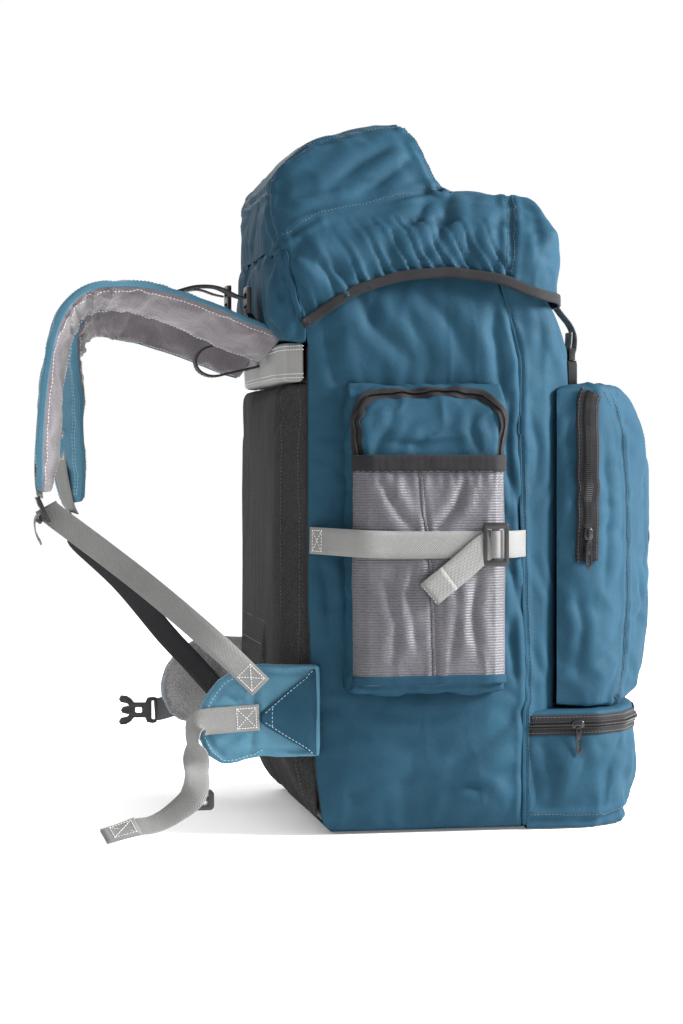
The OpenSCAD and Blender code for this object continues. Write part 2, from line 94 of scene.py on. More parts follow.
LID_END = [(172, 440), (172, 508), (167, 541), (150, 568), (126, 596), (113, 632), (100, 656), (84, 674), (0, 676)]
LID_FRONT_PLAN = [(27, 172), (58, 168), (80, 152), (91, 118), (95, 62), (96, 0)]
LID_BACK_PLAN = [(-172, -172), (-181, -162), (-188, -145), (-195, -110), (-197, -50), (-196, 0), (-190, 60),
                 (-182, 110), (-175, 145), (-170, 162), (-164, 172)]
HEM_LINE = [(-212, 541), (-190, 541), (-186, 536), (-168, 470), (-122, 502), (-76, 517), (-28, 522), (25, 515),
            (45, 506), (70, 500), (110, 499)]
POCKET_SIDE = [(80, 114), (150, 114), (174, 124), (190, 152), (200, 211), (204, 265), (202, 309), (196, 345),
               (184, 380), (168, 408), (150, 419), (80, 419)]
POCKET_PLAN = [(80, 150), (124, 150), (150, 128), (178, 98), (196, 60), (204, 0)]
BOTTOM_SIDE = [(46, 0), (158, 0), (157, 14), (163, 24), (172, 43), (178, 77), (187, 85), (187, 112), (46, 112)]
BOTTOM_PLAN = [(46, 158), (70, 156), (120, 156), (150, 136), (172, 100), (184, 55), (187, 0)]
SIDE_PLAN = [(-128, 160), (-124, 188), (-108, 201), (6, 201), (20, 188), (24, 160)]
SIDE_END = [(160, 420), (172, 420), (186, 404), (196, 370), (201, 300), (201, 160), (192, 134), (160, 132)]
HIP_HINGE = np.array([-204.5, -167.0, 0.0])
LEFT_PAD = [(-181, -75, 455), (-198, -76, 463), (-220, -78, 471), (-251, -80, 484), (-299, -84, 500),
            (-337, -88, 503), (-364, -90, 495), (-380, -92, 472), (-388, -93, 440), (-393, -94, 404),
            (-397, -95, 348), (-399, -95, 318)]
LEFT_FACE = [(-0.37, 0.26, 0.9), (-0.37, 0.26, 0.9), (-0.36, 0.26, 0.9), (-0.36, 0.26, 0.9), (-0.2, 0.26, 0.94),
             (-0.1, 0.26, 0.96), (-0.6, 0.26, 0.75), (-0.9, 0.26, 0.35), (-0.95, 0.26, 0.15), (-0.96, 0.26, 0.08),
             (-0.97, 0.26, 0.05), (-0.97, 0.26, 0.02)]
RIGHT_PAD = [(-181, 75, 452), (-198, 76, 459), (-233, 78, 474), (-284, 80, 490), (-324, 82, 493), (-348, 84, 482),
             (-361, 85, 458), (-367, 86, 409), (-368, 87, 358), (-362, 88, 304)]
RIGHT_FACE = [(-0.26, 0.55, 0.78), (-0.26, 0.6, 0.75), (-0.26, 0.65, 0.71), (-0.2, 0.68, 0.7), (-0.25, 0.6, 0.76),
              (-0.6, 0.3, 0.7), (-0.9, 0, 0.4), (-0.93, -0.35, 0), (-0.9, -0.42, 0), (-0.9, -0.42, -0.1)]
LEFT_WEB = [(-398, -95.5, 305), (-391, -98, 297), (-345, -118, 262), (-300, -152, 226), (-250, -192, 182),
            (-207, -183, 141)]
RIGHT_WEB = [(-358, 90, 270), (-352, 92, 262), (-310, 101, 222), (-265, 114, 168), (-235, 128, 136),
             (-208, 152, 106)]


def both(half_outline, axis):
    """Closes a half outline by its mirror image; axis is the coordinate that flips."""
    flip = [tuple(-c if i == axis else c for i, c in enumerate(p)) for p in reversed(half_outline)]
    return list(half_outline) + [p for p in flip if p[axis] != 0]


def at(line, z):
    """The X of a (z, x) line at each height z."""
    return np.interp(z, [p[0] for p in line], [p[1] for p in line])


# %% [markdown]
# ## Small geometry tools
# Seeded value noise, distance to a line, and meshes that go in and out of numpy in millimetres.

# %%
def noise(p, size, seed=0):
    """Smooth seeded noise from -1 to 1 at points p; bumps are about `size` mm across."""
    q = p / np.asarray(size, float) + seed * 17.31
    cell = np.floor(q).astype(np.int64)
    f = q - cell
    f = f * f * (3 - 2 * f)
    total = np.zeros(len(p))
    for corner in itertools.product((0, 1), repeat=3):
        k = cell + corner
        h = (k[:, 0] * 73856093) ^ (k[:, 1] * 19349663) ^ (k[:, 2] * 83492791) ^ (seed * 2654435)
        h = ((h ^ (h >> 13)) * 1274126177) & 0x7FFFFFFF
        h ^= h >> 16
        weight = np.prod(np.where(corner, f, 1 - f), axis=1)
        total += weight * ((h % 65536) / 32768 - 1)
    return total


def ridges(p, size, seed=0):
    """Creased noise from 0 to 1: thin ridges between soft hollows, like pinched cloth."""
    return (1 - np.abs(noise(p, size, seed))) ** 3


def line_distance(p, line):
    """Distance from each point to a polyline, and how far along it the nearest place is, from 0 to 1."""
    line = np.asarray(line, float)
    a, b = line[:-1], line[1:]
    d = b - a
    length = np.linalg.norm(d, axis=1)
    start = np.concatenate([[0], np.cumsum(length)[:-1]])
    best = np.full(len(p), 1e9)
    where = np.zeros(len(p))
    for i in range(len(a)):
        t = np.clip(((p - a[i]) @ d[i]) / max(length[i] ** 2, 1e-9), 0, 1)
        gap = np.linalg.norm(p - a[i] - t[:, None] * d[i], axis=1)
        near = gap < best
        best[near] = gap[near]
        where[near] = (start[i] + t[near] * length[i]) / length.sum()
    return best, where


def smooth_line(points, step=4.0, closed=False):
    """Catmull-Rom curve through the points, resampled at even steps."""
    p = np.asarray(points, float)
    ext = np.vstack([p[-1], p, p[0], p[1]]) if closed else np.vstack([2 * p[0] - p[1], p, 2 * p[-1] - p[-2]])
    out = []
    for i in range(len(ext) - 3):
        a, b, c, d = ext[i:i + 4]
        t = np.linspace(0, 1, 17)[:-1, None]
        out.append(0.5 * (2 * b + (c - a) * t + (2 * a - 5 * b + 4 * c - d) * t ** 2
                          + (3 * b - a - 3 * c + d) * t ** 3))
    fine = np.vstack(out + [ext[-2][None]])
    return resample(fine, step)


def resample(line, step):
    line = np.asarray(line, float)
    s = np.concatenate([[0], np.cumsum(np.linalg.norm(np.diff(line, axis=0), axis=1))])
    n = max(2, int(round(s[-1] / step)) + 1)
    t = np.linspace(0, s[-1], n)
    return np.stack([np.interp(t, s, line[:, k]) for k in range(3)], axis=1)


def unit(v):
    return v / np.maximum(np.linalg.norm(v, axis=-1, keepdims=True), 1e-9)


def make(name, verts, faces, smooth=True):
    """A mesh object at the origin from points in millimetres."""
    mesh = bpy.data.meshes.new(name)
    mesh.from_pydata((np.asarray(verts, float) * 0.001).tolist(), [], [tuple(map(int, f)) for f in faces])
    mesh.validate()
    obj = bpy.data.objects.new(name, mesh)
    scene.collection.objects.link(obj)
    if smooth:
        mesh.shade_smooth()
    return obj


def coords(obj):
    co = np.empty(len(obj.data.vertices) * 3)
    obj.data.vertices.foreach_get("co", co)
    return co.reshape(-1, 3) * 1000


def set_coords(obj, p):
    obj.data.vertices.foreach_set("co", (p * 0.001).ravel())
    obj.data.update()


def normals(obj):
    n = np.empty(len(obj.data.vertices) * 3)
    obj.data.vertex_normals.foreach_get("vector", n)
    return n.reshape(-1, 3)


def push(obj, amount):
    """Moves each point along its normal, in millimetres."""
    set_coords(obj, coords(obj) + normals(obj) * np.asarray(amount)[:, None])
    return obj


def applied(obj, kind, **settings):
    """Adds a modifier and applies it through the evaluated mesh."""
    modifier = obj.modifiers.new("m", kind)
    for key, value in settings.items():
        setattr(modifier, key, value)
    bpy.context.view_layer.update()
    mesh = bpy.data.meshes.new_from_object(obj.evaluated_get(bpy.context.evaluated_depsgraph_get()))
    obj.modifiers.clear()
    old, obj.data = obj.data, mesh
    mesh.name = obj.name
    bpy.data.meshes.remove(old)
    mesh.shade_smooth()
    return obj


def faces_out(obj):
    bm = bmesh.new()
    bm.from_mesh(obj.data)
    bmesh.ops.recalc_face_normals(bm, faces=bm.faces)
    bm.to_mesh(obj.data)
    bm.free()
    return obj


def grid(name, place, nu, nv, flip=False):
    """A sheet of nu by nv points; place(U, V) gives X, Y and Z in millimetres for U, V from 0 to 1."""
    u, v = np.meshgrid(np.linspace(0, 1, nu), np.linspace(0, 1, nv), indexing="ij")
    p = np.stack(np.broadcast_arrays(*place(u.ravel(), v.ravel())), axis=1)
    i = (np.arange(nu - 1)[:, None] * nv + np.arange(nv - 1)[None]).ravel()
    quad = np.stack([i, i + nv, i + nv + 1, i + 1], axis=1)
    obj = make(name, p, quad[:, ::-1] if flip else quad)
    return obj


def prism(outline, axis):
    """A long prism from a 2D outline; axis is the direction it runs in: 0, 1 or 2."""
    n = len(outline)
    others = [k for k in range(3) if k != axis]
    p = np.zeros((2 * n, 3))
    p[:, others] = np.vstack([outline, outline])
    p[:n, axis], p[n:, axis] = -900, 900
    sides = [(i, (i + 1) % n, n + (i + 1) % n, n + i) for i in range(n)]
    return make("tool", p, sides + [tuple(range(n))[::-1], tuple(range(n, 2 * n))], smooth=False)


def form(name, side=None, end=None, plan=None, voxel=5.0, rounds=6):
    """The body that up to three outlines have in common, as an even, rounded mesh."""
    parts = [prism(o, axis) for o, axis in ((side, 1), (end, 0), (plan, 2)) if o is not None]
    for part in parts:
        faces_out(part)
    obj = parts[0]
    for other in parts[1:]:
        applied(obj, "BOOLEAN", operation="INTERSECT", solver="EXACT", object=other)
        bpy.data.objects.remove(other)
    obj.name = name
    applied(obj, "REMESH", mode="VOXEL", voxel_size=voxel * 0.001)
    if rounds:
        applied(obj, "SMOOTH", factor=0.5, iterations=rounds)
    return obj


def keep_faces(obj, keep):
    """Deletes the faces whose centre isn't kept; keep takes centres and normals."""
    n = len(obj.data.polygons)
    c, d = np.empty(n * 3), np.empty(n * 3)
    obj.data.polygons.foreach_get("center", c)
    obj.data.polygons.foreach_get("normal", d)
    mask = keep(c.reshape(-1, 3) * 1000, d.reshape(-1, 3))
    bm = bmesh.new()
    bm.from_mesh(obj.data)
    bm.faces.ensure_lookup_table()
    bmesh.ops.delete(bm, geom=[bm.faces[i] for i in np.flatnonzero(~mask)], context="FACES")
    bm.to_mesh(obj.data)
    bm.free()
    return obj


def rim(obj):
    """True for each point on an open edge."""
    bm = bmesh.new()
    bm.from_mesh(obj.data)
    mask = np.array([v.is_boundary for v in bm.verts])
    bm.free()
    return mask


def mirrored(obj, name):
    copy = obj.copy()
    copy.data = obj.data.copy()
    copy.name = copy.data.name = name
    scene.collection.objects.link(copy)
    copy.data.transform(Matrix.Diagonal((1, -1, 1, 1)))
    copy.data.flip_normals()
    return copy


def fill(obj, pinned=None, pressure=4.0, grow=0.0, cap=12.0, frames=20, bend=0.5):
    """Lets cloth bulge under inner pressure while pinned points stay; the result becomes the mesh."""
    before = coords(obj)
    modifier = obj.modifiers.new("Cloth", "CLOTH")
    cloth = modifier.settings
    cloth.quality = 5
    cloth.mass = 0.3
    cloth.tension_stiffness = cloth.compression_stiffness = 15
    cloth.shear_stiffness = 5
    cloth.bending_stiffness = bend
    cloth.use_pressure = True
    cloth.uniform_pressure_force = pressure
    cloth.shrink_min = -grow
    cloth.effector_weights.gravity = 0
    if pinned is not None:
        group = obj.vertex_groups.new(name="pin")
        group.add(np.flatnonzero(pinned).tolist(), 1.0, "REPLACE")
        cloth.vertex_group_mass = "pin"
    modifier.point_cache.frame_start, modifier.point_cache.frame_end = 1, frames
    for number in range(1, frames + 1):
        scene.frame_set(number)
    evaluated = obj.evaluated_get(bpy.context.evaluated_depsgraph_get())
    after = np.empty(len(before) * 3)
    evaluated.data.vertices.foreach_get("co", after)
    move = after.reshape(-1, 3) * 1000 - before
    length = np.linalg.norm(move, axis=1, keepdims=True)
    obj.modifiers.clear()
    obj.vertex_groups.clear()
    scene.frame_set(1)
    set_coords(obj, before + move * np.minimum(1, cap / np.maximum(length, 1e-6)))
    print("filled", obj.name, "largest move", round(float(length.max()), 1), "mm")
    return obj


def finer(obj, levels=1):
    return applied(obj, "SUBSURF", levels=levels, render_levels=levels)


def thick(obj, mm, offset=-1.0):
    return applied(obj, "SOLIDIFY", thickness=mm * 0.001, offset=offset, use_even_offset=False)


def grain(obj):
    """A UV map in metres laid flat on each face's main plane, so a weave keeps its real size."""
    mesh = obj.data
    layer = mesh.uv_layers.get("grain") or mesh.uv_layers.new(name="grain")
    count = len(mesh.loops)
    vertex = np.empty(count, int)
    mesh.loops.foreach_get("vertex_index", vertex)
    n = np.empty(len(mesh.polygons) * 3)
    mesh.polygons.foreach_get("normal", n)
    total = np.empty(len(mesh.polygons), int)
    mesh.polygons.foreach_get("loop_total", total)
    axis = np.repeat(np.abs(n.reshape(-1, 3)).argmax(1), total)
    p = coords(obj)[vertex] * 0.001
    uv = np.where((axis == 0)[:, None], p[:, [1, 2]], np.where((axis == 1)[:, None], p[:, [0, 2]], p[:, [0, 1]]))
    layer.data.foreach_set("uv", uv.astype(np.float32).ravel())
    return obj


def groove(obj, line, depth=2.2, width=4.0, lip=0.5):
    """Presses a sewn seam into the cloth along a line, with a soft lip on both sides."""
    d, _ = line_distance(coords(obj), line)
    push(obj, -depth * np.exp(-(d / width) ** 2) + lip * depth * np.exp(-((d - 2.3 * width) / width) ** 2))
    return obj


def fold(obj, line, depth=4.0, width=9.0):
    """A drag line in the cloth: deepest in its middle, running out at both ends."""
    d, t = line_distance(coords(obj), line)
    taper = np.sin(np.pi * np.clip(t, 0.001, 0.999)) ** 0.7
    push(obj, taper * depth * (np.exp(-((d - 1.7 * width) / width) ** 2) * 0.7 - np.exp(-(d / (0.6 * width)) ** 2)))
    return obj


def surface(obj):
    mesh = obj.data
    return BVHTree.FromPolygons([v.co * 1000 for v in mesh.vertices], [p.vertices[:] for p in mesh.polygons])


def on_surface(tree, line, step=3.0, lift=0.5):
    """The line laid on a surface, and the surface's normal at each point."""
    pts, out = [], []
    for p in resample(line, step):
        hit, n, _, _ = tree.find_nearest(Vector(p))
        pts.append(np.array(hit) + np.array(n) * lift)
        out.append(np.array(n))
    return np.array(pts), np.array(out)


def dress(obj, body, material, replaced=()):
    """Gives a piece its finish and its place in the frame."""
    if not obj.data.uv_layers:
        grain(obj)
    obj.data.materials.clear()
    obj.data.materials.append(material)
    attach(obj, body)
    if replaced:
        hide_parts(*replaced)
    return obj


print("tools ready, quick =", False)

# %% [markdown]
# ## Materials
# Colours are written as sRGB and turned to linear in one place. One function adds a node with its
# settings, constants and links. Weaves read the "grain" UV map, which is in metres.

# %%
def srgb(code):
    c = np.array([int(code[i:i + 2], 16) for i in (1, 3, 5)]) / 255
    c = np.where(c <= 0.04045, c / 12.92, ((c + 0.055) / 1.055) ** 2.4)
    return (*c.tolist(), 1.0)


def add(tree, kind, inputs=None, **settings):
    """Adds a node; inputs maps a socket name or number to a constant or to another node's output."""
    made = tree.nodes.new(kind)
    for key, value in settings.items():
        setattr(made, key, value)
    for key, value in (inputs or {}).items():
        if isinstance(value, bpy.types.NodeSocket):
            tree.links.new(value, made.inputs[key])
        else:
            made.inputs[key].default_value = value
    return made


def math_node(tree, operation, a, b=0.0):
    return add(tree, "ShaderNodeMath", {0: a, 1: b}, operation=operation).outputs[0]


def mixed(tree, factor, a, b, blend="MIX"):
    made = add(tree, "ShaderNodeMix", {0: factor, 6: a, 7: b}, data_type="RGBA", blend_type=blend)
    return made.outputs[2]


def start_material(name):
    material = bpy.data.materials.new(name)
    material.use_nodes = True
    tree = material.node_tree
    tree.nodes.clear()
    shader = add(tree, "ShaderNodeBsdfPrincipled")
    out = add(tree, "ShaderNodeOutputMaterial", {0: shader.outputs[0]})
    out.is_active_output = True
    return material, tree, shader


def wave(tree, coordinate, pitch_mm, phase=0.0):
    """A sine from -1 to 1 along a coordinate in metres, one cycle every pitch_mm."""
    scaled = math_node(tree, "MULTIPLY_ADD", coordinate, 2000 * math.pi / pitch_mm)
    scaled.node.inputs[2].default_value = phase
    return math_node(tree, "SINE", scaled)


def cloth(name, colour, light=None, pitch=(1.1, 1.1), weave=0.25, ribs=0.0, rib_pitch=3.4, rough=0.62, sheen=0.35,
          speckle=0.25, crumple=0.35, shade=0.18, sheen_tint="#ffffff", spec=0.35):
    """A woven or knitted cloth. pitch is warp and weft in mm, ribs is the height of weft ribs."""
    material, tree, shader = start_material(name)
    place = add(tree, "ShaderNodeTexCoord").outputs["Object"]
    uv = add(tree, "ShaderNodeUVMap", uv_map="grain").outputs[0]
    parts = add(tree, "ShaderNodeSeparateXYZ", {0: uv})
    u, v = parts.outputs[0], parts.outputs[1]
    over_under = math_node(tree, "MULTIPLY", wave(tree, u, pitch[0]), wave(tree, v, pitch[1]))
    thread = add(tree, "ShaderNodeTexNoise", {"Vector": place, "Scale": 700.0, "Detail": 2.0}).outputs[0]
    patch = add(tree, "ShaderNodeTexNoise", {"Vector": place, "Scale": 16.0, "Detail": 3.0}).outputs[0]
    height = math_node(tree, "MULTIPLY", over_under, weave * 0.5)
    tone = math_node(tree, "MULTIPLY_ADD", over_under, 0.12)
    tone.node.inputs[2].default_value = 0.5
    if ribs:
        rib = math_node(tree, "ABSOLUTE", wave(tree, v, 2 * rib_pitch))
        rib = math_node(tree, "POWER", rib, 0.6)
        height = math_node(tree, "ADD", height, math_node(tree, "MULTIPLY", rib, ribs))
        # Rib crests are painted lighter and the grooves between them darker: painted light and shade that follow the
        # rib height.
        tone = math_node(tree, "ADD", tone, math_node(tree, "MULTIPLY", rib, 0.3))
        tone = math_node(tree, "SUBTRACT", tone, 0.2)
    low, high = srgb(colour), srgb(light or colour)
    dark = tuple(c * (1 - shade) for c in low[:3]) + (1.0,)
    fleck = add(tree, "ShaderNodeMapRange", {0: thread, 1: 0.35, 2: 0.65, 3: 0.5 - speckle / 2,
                                             4: 0.5 + speckle / 2})
    blend = math_node(tree, "ADD", tone, math_node(tree, "SUBTRACT", fleck.outputs[0], 0.5))
    woven = mixed(tree, blend, dark, high)
    broad = add(tree, "ShaderNodeMapRange", {0: patch, 1: 0.3, 2: 0.7, 3: 1 - shade * 0.5, 4: 1 + shade * 0.35})
    worn = mixed(tree, 1.0, woven, broad.outputs[0], blend="MULTIPLY")
    creases = add(tree, "ShaderNodeTexNoise",
                  {"Vector": place, "Scale": 55.0, "Detail": 4.0, "Roughness": 0.55, "Distortion": 0.6}).outputs[0]
    bump = add(tree, "ShaderNodeBump", {"Strength": crumple, "Distance": 0.004, "Height": creases})
    fine = add(tree, "ShaderNodeBump",
               {"Strength": 0.6, "Distance": 0.0006, "Height": height, "Normal": bump.outputs[0]})
    tree.links.new(worn, shader.inputs["Base Color"])
    tree.links.new(fine.outputs[0], shader.inputs["Normal"])
    for key, value in (("Roughness", rough), ("Sheen Weight", sheen), ("Sheen Roughness", 0.5),
                       ("Sheen Tint", srgb(sheen_tint)), ("Specular IOR Level", spec)):
        shader.inputs[key].default_value = value
    return material


def hard(name, colour, rough=0.4, metal=0.0, grain_size=900.0, bump=0.12, coat=0.0):
    """Moulded plastic or painted metal with a slight texture."""
    material, tree, shader = start_material(name)
    place = add(tree, "ShaderNodeTexCoord").outputs["Object"]
    fine = add(tree, "ShaderNodeTexNoise", {"Vector": place, "Scale": grain_size, "Detail": 2.0}).outputs[0]
    broad = add(tree, "ShaderNodeTexNoise", {"Vector": place, "Scale": 60.0, "Detail": 2.0}).outputs[0]
    gloss = add(tree, "ShaderNodeMapRange", {0: broad, 1: 0.3, 2: 0.7, 3: rough * 0.8, 4: min(1, rough * 1.25)})
    raised = add(tree, "ShaderNodeBump", {"Strength": bump, "Distance": 0.0004, "Height": fine})
    tree.links.new(gloss.outputs[0], shader.inputs["Roughness"])
    tree.links.new(raised.outputs[0], shader.inputs["Normal"])
    shader.inputs["Base Color"].default_value = srgb(colour)
    shader.inputs["Metallic"].default_value = metal
    shader.inputs["Coat Weight"].default_value = coat
    return material


# The main cloth: deep dull teal with soft creases and no shine.
TEAL = cloth("teal_polyester", "#1a3848", "#234355", sheen=0.0, spec=0.06, crumple=0.16)
# The harness cloth: the same teal, painted brighter to stand for light falling on it from above, with a slight gloss.
TEAL_PAINTED_TOPLIT = cloth("light_teal_polyester", "#396377", "#4a7589", sheen=0.05, sheen_tint="#c8e2ee", spec=0.18,
                   crumple=0.2)
# Bindings and patches: the teal one shade darker.
TEAL_DEEP = cloth("deep_teal_polyester", "#183344", "#203e50", sheen=0.0, spec=0.06, crumple=0.2)
# The back: near-black coarse cloth with a fine speckle.
CHARCOAL = cloth("charcoal_back_cloth", "#1d1d1e", "#333334", pitch=(1.6, 1.6), speckle=0.7, weave=0.4, rough=0.85,
                 sheen=0.0, crumple=0.25, spec=0.1)
# The yoke band: light grey tape with a close weave.
BAND = cloth("silver_band_tape", "#6a6968", "#807f7e", pitch=(1.2, 0.9), weave=0.5, speckle=0.3, rough=0.55,
             sheen=0.2, crumple=0.12)
# Under the shoulder pads: mauve-grey with soft ribs.
LINING = cloth("mauve_ribbed_lining", "#524b51", "#756d73", pitch=(1.4, 1.4), ribs=1.0, rib_pitch=2.6, weave=0.5,
               rough=0.7, sheen=0.5, crumple=0.35, shade=0.4, spec=0.25)
# The face worn against the body: pale grey open mesh.
SPACER = cloth("grey_spacer_mesh", "#7d7c7d", "#a8a7a9", pitch=(3.6, 3.6), weave=1.8, speckle=0.5, rough=0.8,
               sheen=0.3, crumple=0.3, shade=0.35, spec=0.25)
# Inner cloth: dark teal, smooth and coated.
COATING = cloth("coated_lining", "#27485a", "#355b70", weave=0.15, rough=0.5, sheen=0.1, crumple=0.5)
# The stretch pocket: dark grey with fine glossy ribs.
MESH = cloth("ribbed_stretch_mesh", "#37353c", "#55535a", pitch=(1.5, 1.5), ribs=1.5, rib_pitch=2.5, weave=0.5,
             rough=0.42, sheen=0.12, crumple=0.25, shade=0.45, speckle=0.35, spec=0.4)
# Straps: mid grey with a coarse woven grain.
WEB = cloth("grey_webbing", "#636362", "#7d7d7c", pitch=(2.2, 1.6), weave=1.2, rough=0.6, sheen=0.08, crumple=0.08,
            shade=0.25, speckle=0.2)
# Dark straps and loops: the same grain in near-black; on the right shoulder strap's webbing this near-black is painted
# shade.
WEB_BLACK_AND_SHADE = cloth("black_webbing", "#222224", "#363639", pitch=(2.2, 1.2), weave=0.9, rough=0.65, sheen=0.05,
                 crumple=0.08, speckle=0.2, spec=0.2)
# Hems: black, matt, with a tight cross grain.
ELASTIC = cloth("black_elastic", "#131314", "#27272a", pitch=(1.4, 2.4), weave=1.0, rough=0.75, sheen=0.03,
                crumple=0.12, spec=0.12)
# Zip tape: black and very finely woven.
TAPE = cloth("zip_tape", "#121214", "#212124", pitch=(0.9, 0.9), weave=0.5, rough=0.75, sheen=0.03, crumple=0.06,
             spec=0.15)
# Stitches, each a tone of the cloth it lies on.
THREAD = cloth("sewing_thread", "#7a9cac", "#9cb6c2", weave=0.3, rough=0.6, crumple=0.0)
THREAD_DARK = cloth("dark_thread", "#1c3340", "#27424f", weave=0.3, rough=0.7, crumple=0.0)
THREAD_GREY = cloth("grey_thread", "#c9c9c8", "#e2e2e0", weave=0.3, rough=0.6, crumple=0.0)
THREAD_BLACK = cloth("black_thread", "#232325", "#3a3a3c", weave=0.3, rough=0.7, crumple=0.0)
# Buckles: black with a soft highlight.
PLASTIC = hard("black_moulded_plastic", "#111113", rough=0.36)
# Sliders and pulls: black paint over metal.
METAL = hard("black_painted_metal", "#1d1d20", rough=0.28, metal=0.6, bump=0.05, coat=0.3)
# Zip teeth: black with a sharper highlight.
COIL = hard("black_zip_coil", "#0e0e10", rough=0.3, bump=0.05)
# Hidden stays: brushed bare metal.
ALUMINIUM = hard("brushed_aluminium", "#b9bdc0", rough=0.35, metal=1.0, bump=0.1)
# Hidden frame sheet: black, slightly glossy.
SHEET_PLASTIC = hard("black_sheet_plastic", "#17181b", rough=0.45)
print(len(bpy.data.materials), "materials")

# %% [markdown]
# ## Rows of stitches and zip teeth
# One Geometry Nodes tree puts a small thread or tooth at even steps along a line.

# %%
def row_tree(name, tooth):
    tree = bpy.data.node_groups.new(name, "GeometryNodeTree")
    face = tree.interface
    for label, kind, value in (("Line", "NodeSocketGeometry", None), ("Pitch", "NodeSocketFloat", 0.0035),
                               ("Length", "NodeSocketFloat", 0.0024), ("Width", "NodeSocketFloat", 0.0007),
                               ("Height", "NodeSocketFloat", 0.0007), ("Material", "NodeSocketMaterial", None)):
        socket = face.new_socket(label, in_out="INPUT", socket_type=kind)
        if value is not None:
            socket.default_value = value
    face.new_socket("Row", in_out="OUTPUT", socket_type="NodeSocketGeometry")
    given = add(tree, "NodeGroupInput").outputs
    curve = add(tree, "GeometryNodeMeshToCurve", {0: given["Line"]})
    spaced = add(tree, "GeometryNodeCurveToPoints", {"Curve": curve.outputs[0], "Length": given["Pitch"]},
                 mode="LENGTH")
    size = add(tree, "ShaderNodeCombineXYZ", {0: given["Width"], 1: given["Height"], 2: given["Length"]})
    if tooth:
        shape = add(tree, "GeometryNodeMeshCube", {"Size": size.outputs[0]}).outputs[0]
    else:
        ball = add(tree, "GeometryNodeMeshUVSphere", {"Segments": 6, "Rings": 5, "Radius": 0.5}).outputs[0]
        shape = add(tree, "GeometryNodeTransform", {"Geometry": ball, "Scale": size.outputs[0]}).outputs[0]
    placed = add(tree, "GeometryNodeInstanceOnPoints",
                 {"Points": spaced.outputs["Points"], "Instance": shape, "Rotation": spaced.outputs["Rotation"]})
    real = add(tree, "GeometryNodeRealizeInstances", {0: placed.outputs[0]})
    finished = add(tree, "GeometryNodeSetMaterial", {"Geometry": real.outputs[0], "Material": given["Material"]})
    add(tree, "NodeGroupOutput", {0: finished.outputs[0]})
    return tree


STITCH_TREE = row_tree("StitchRow", tooth=False)
TOOTH_TREE = row_tree("ToothRow", tooth=True)


def row(name, lines, body, slot, material, tree=STITCH_TREE, pitch=3.6, length=2.5, width=0.75, height=0.75):
    """Stitches or teeth along one or more lines, as one piece."""
    verts, edges = [], []
    for line in lines:
        base = len(verts)
        verts += (np.asarray(line) * 0.001).tolist()
        edges += [(base + i, base + i + 1) for i in range(len(line) - 1)]
    mesh = bpy.data.meshes.new(name)
    mesh.from_pydata(verts, edges, [])
    obj = bpy.data.objects.new(name, mesh)
    scene.collection.objects.link(obj)
    modifier = obj.modifiers.new("row", "NODES")
    modifier.node_group = tree
    ids = {s.name: s.identifier for s in tree.interface.items_tree if s.in_out == "INPUT"}
    for key, value in (("Pitch", pitch * 0.001), ("Length", length * 0.001), ("Width", width * 0.001),
                       ("Height", height * 0.001), ("Material", material)):
        modifier[ids[key]] = value
    bpy.context.view_layer.update()
    made = bpy.data.meshes.new_from_object(obj.evaluated_get(bpy.context.evaluated_depsgraph_get()))
    obj.modifiers.clear()
    obj.data = made
    bpy.data.meshes.remove(mesh)
    made.name = name
    return dress(faces_out(obj), body, material)


def sew(name, obj, lines, body, slot, material=THREAD, gaps=(0.0,), **sizes):
    """Stitch rows that follow lines on a piece's own surface."""
    tree = surface(obj)
    rows = []
    for line in lines:
        pts, out = on_surface(tree, line, 3.0, 0.35)
        side = unit(np.cross(out, np.gradient(pts, axis=0)))
        for gap in gaps:
            rows.append(on_surface(tree, pts + side * gap, 3.0, 0.3)[0])
    return row(name, rows, body, slot, material, **sizes)


def ribbon(name, route, face, width, thickness, step=4.0, ripple=0.0, seed=1):
    """Webbing along a route: face is the way its outer side looks at each route point."""
    route = np.asarray(route, float)
    face = np.asarray(face, float) if np.ndim(face[0]) else np.tile(np.asarray(face, float), (len(route), 1))
    line = smooth_line(route, step)
    s = np.linspace(0, 1, len(line))
    knots = np.concatenate([[0], np.cumsum(np.linalg.norm(np.diff(route, axis=0), axis=1))])
    look = np.stack([np.interp(s, knots / knots[-1], face[:, k]) for k in range(3)], axis=1)
    ahead = unit(np.gradient(line, axis=0))
    side = unit(np.cross(ahead, look))
    up = unit(np.cross(side, ahead))
    w, t = width / 2, thickness / 2
    e = min(t * 0.6, 0.6)
    ring = [(-w, -t + e), (-w + e, -t), (-w / 2, -t), (0, -t), (w / 2, -t), (w - e, -t), (w, -t + e),
            (w, t - e), (w - e, t), (w / 2, t), (0, t), (-w / 2, t), (-w + e, t), (-w, t - e)]
    m, k = len(line), len(ring)
    bow = ripple * noise(line, 26, seed)
    verts = np.concatenate([[line[i] + side[i] * a + up[i] * (b + bow[i] * (1 - (a / w) ** 2)) for a, b in ring]
                            for i in range(m)])
    faces = [(i * k + j, i * k + (j + 1) % k, (i + 1) * k + (j + 1) % k, (i + 1) * k + j)
             for i in range(m - 1) for j in range(k)]
    faces += [tuple(range(k))[::-1], tuple((m - 1) * k + j for j in range(k))]
    obj = make(name, verts, faces)
    length = np.concatenate([[0], np.cumsum(np.linalg.norm(np.diff(line, axis=0), axis=1))])
    across = np.array([a for a, b in ring])
    layer = obj.data.uv_layers.new(name="grain")
    vertex = np.empty(len(obj.data.loops), int)
    obj.data.loops.foreach_get("vertex_index", vertex)
    uv = np.stack([across[vertex % k], length[vertex // k]], axis=1) * 0.001
    layer.data.foreach_set("uv", uv.astype(np.float32).ravel())
    obj["edges"] = 0
    faces_out(obj)
    mid = {"line": line, "side": side, "up": up, "w": w, "t": t}
    return obj, mid


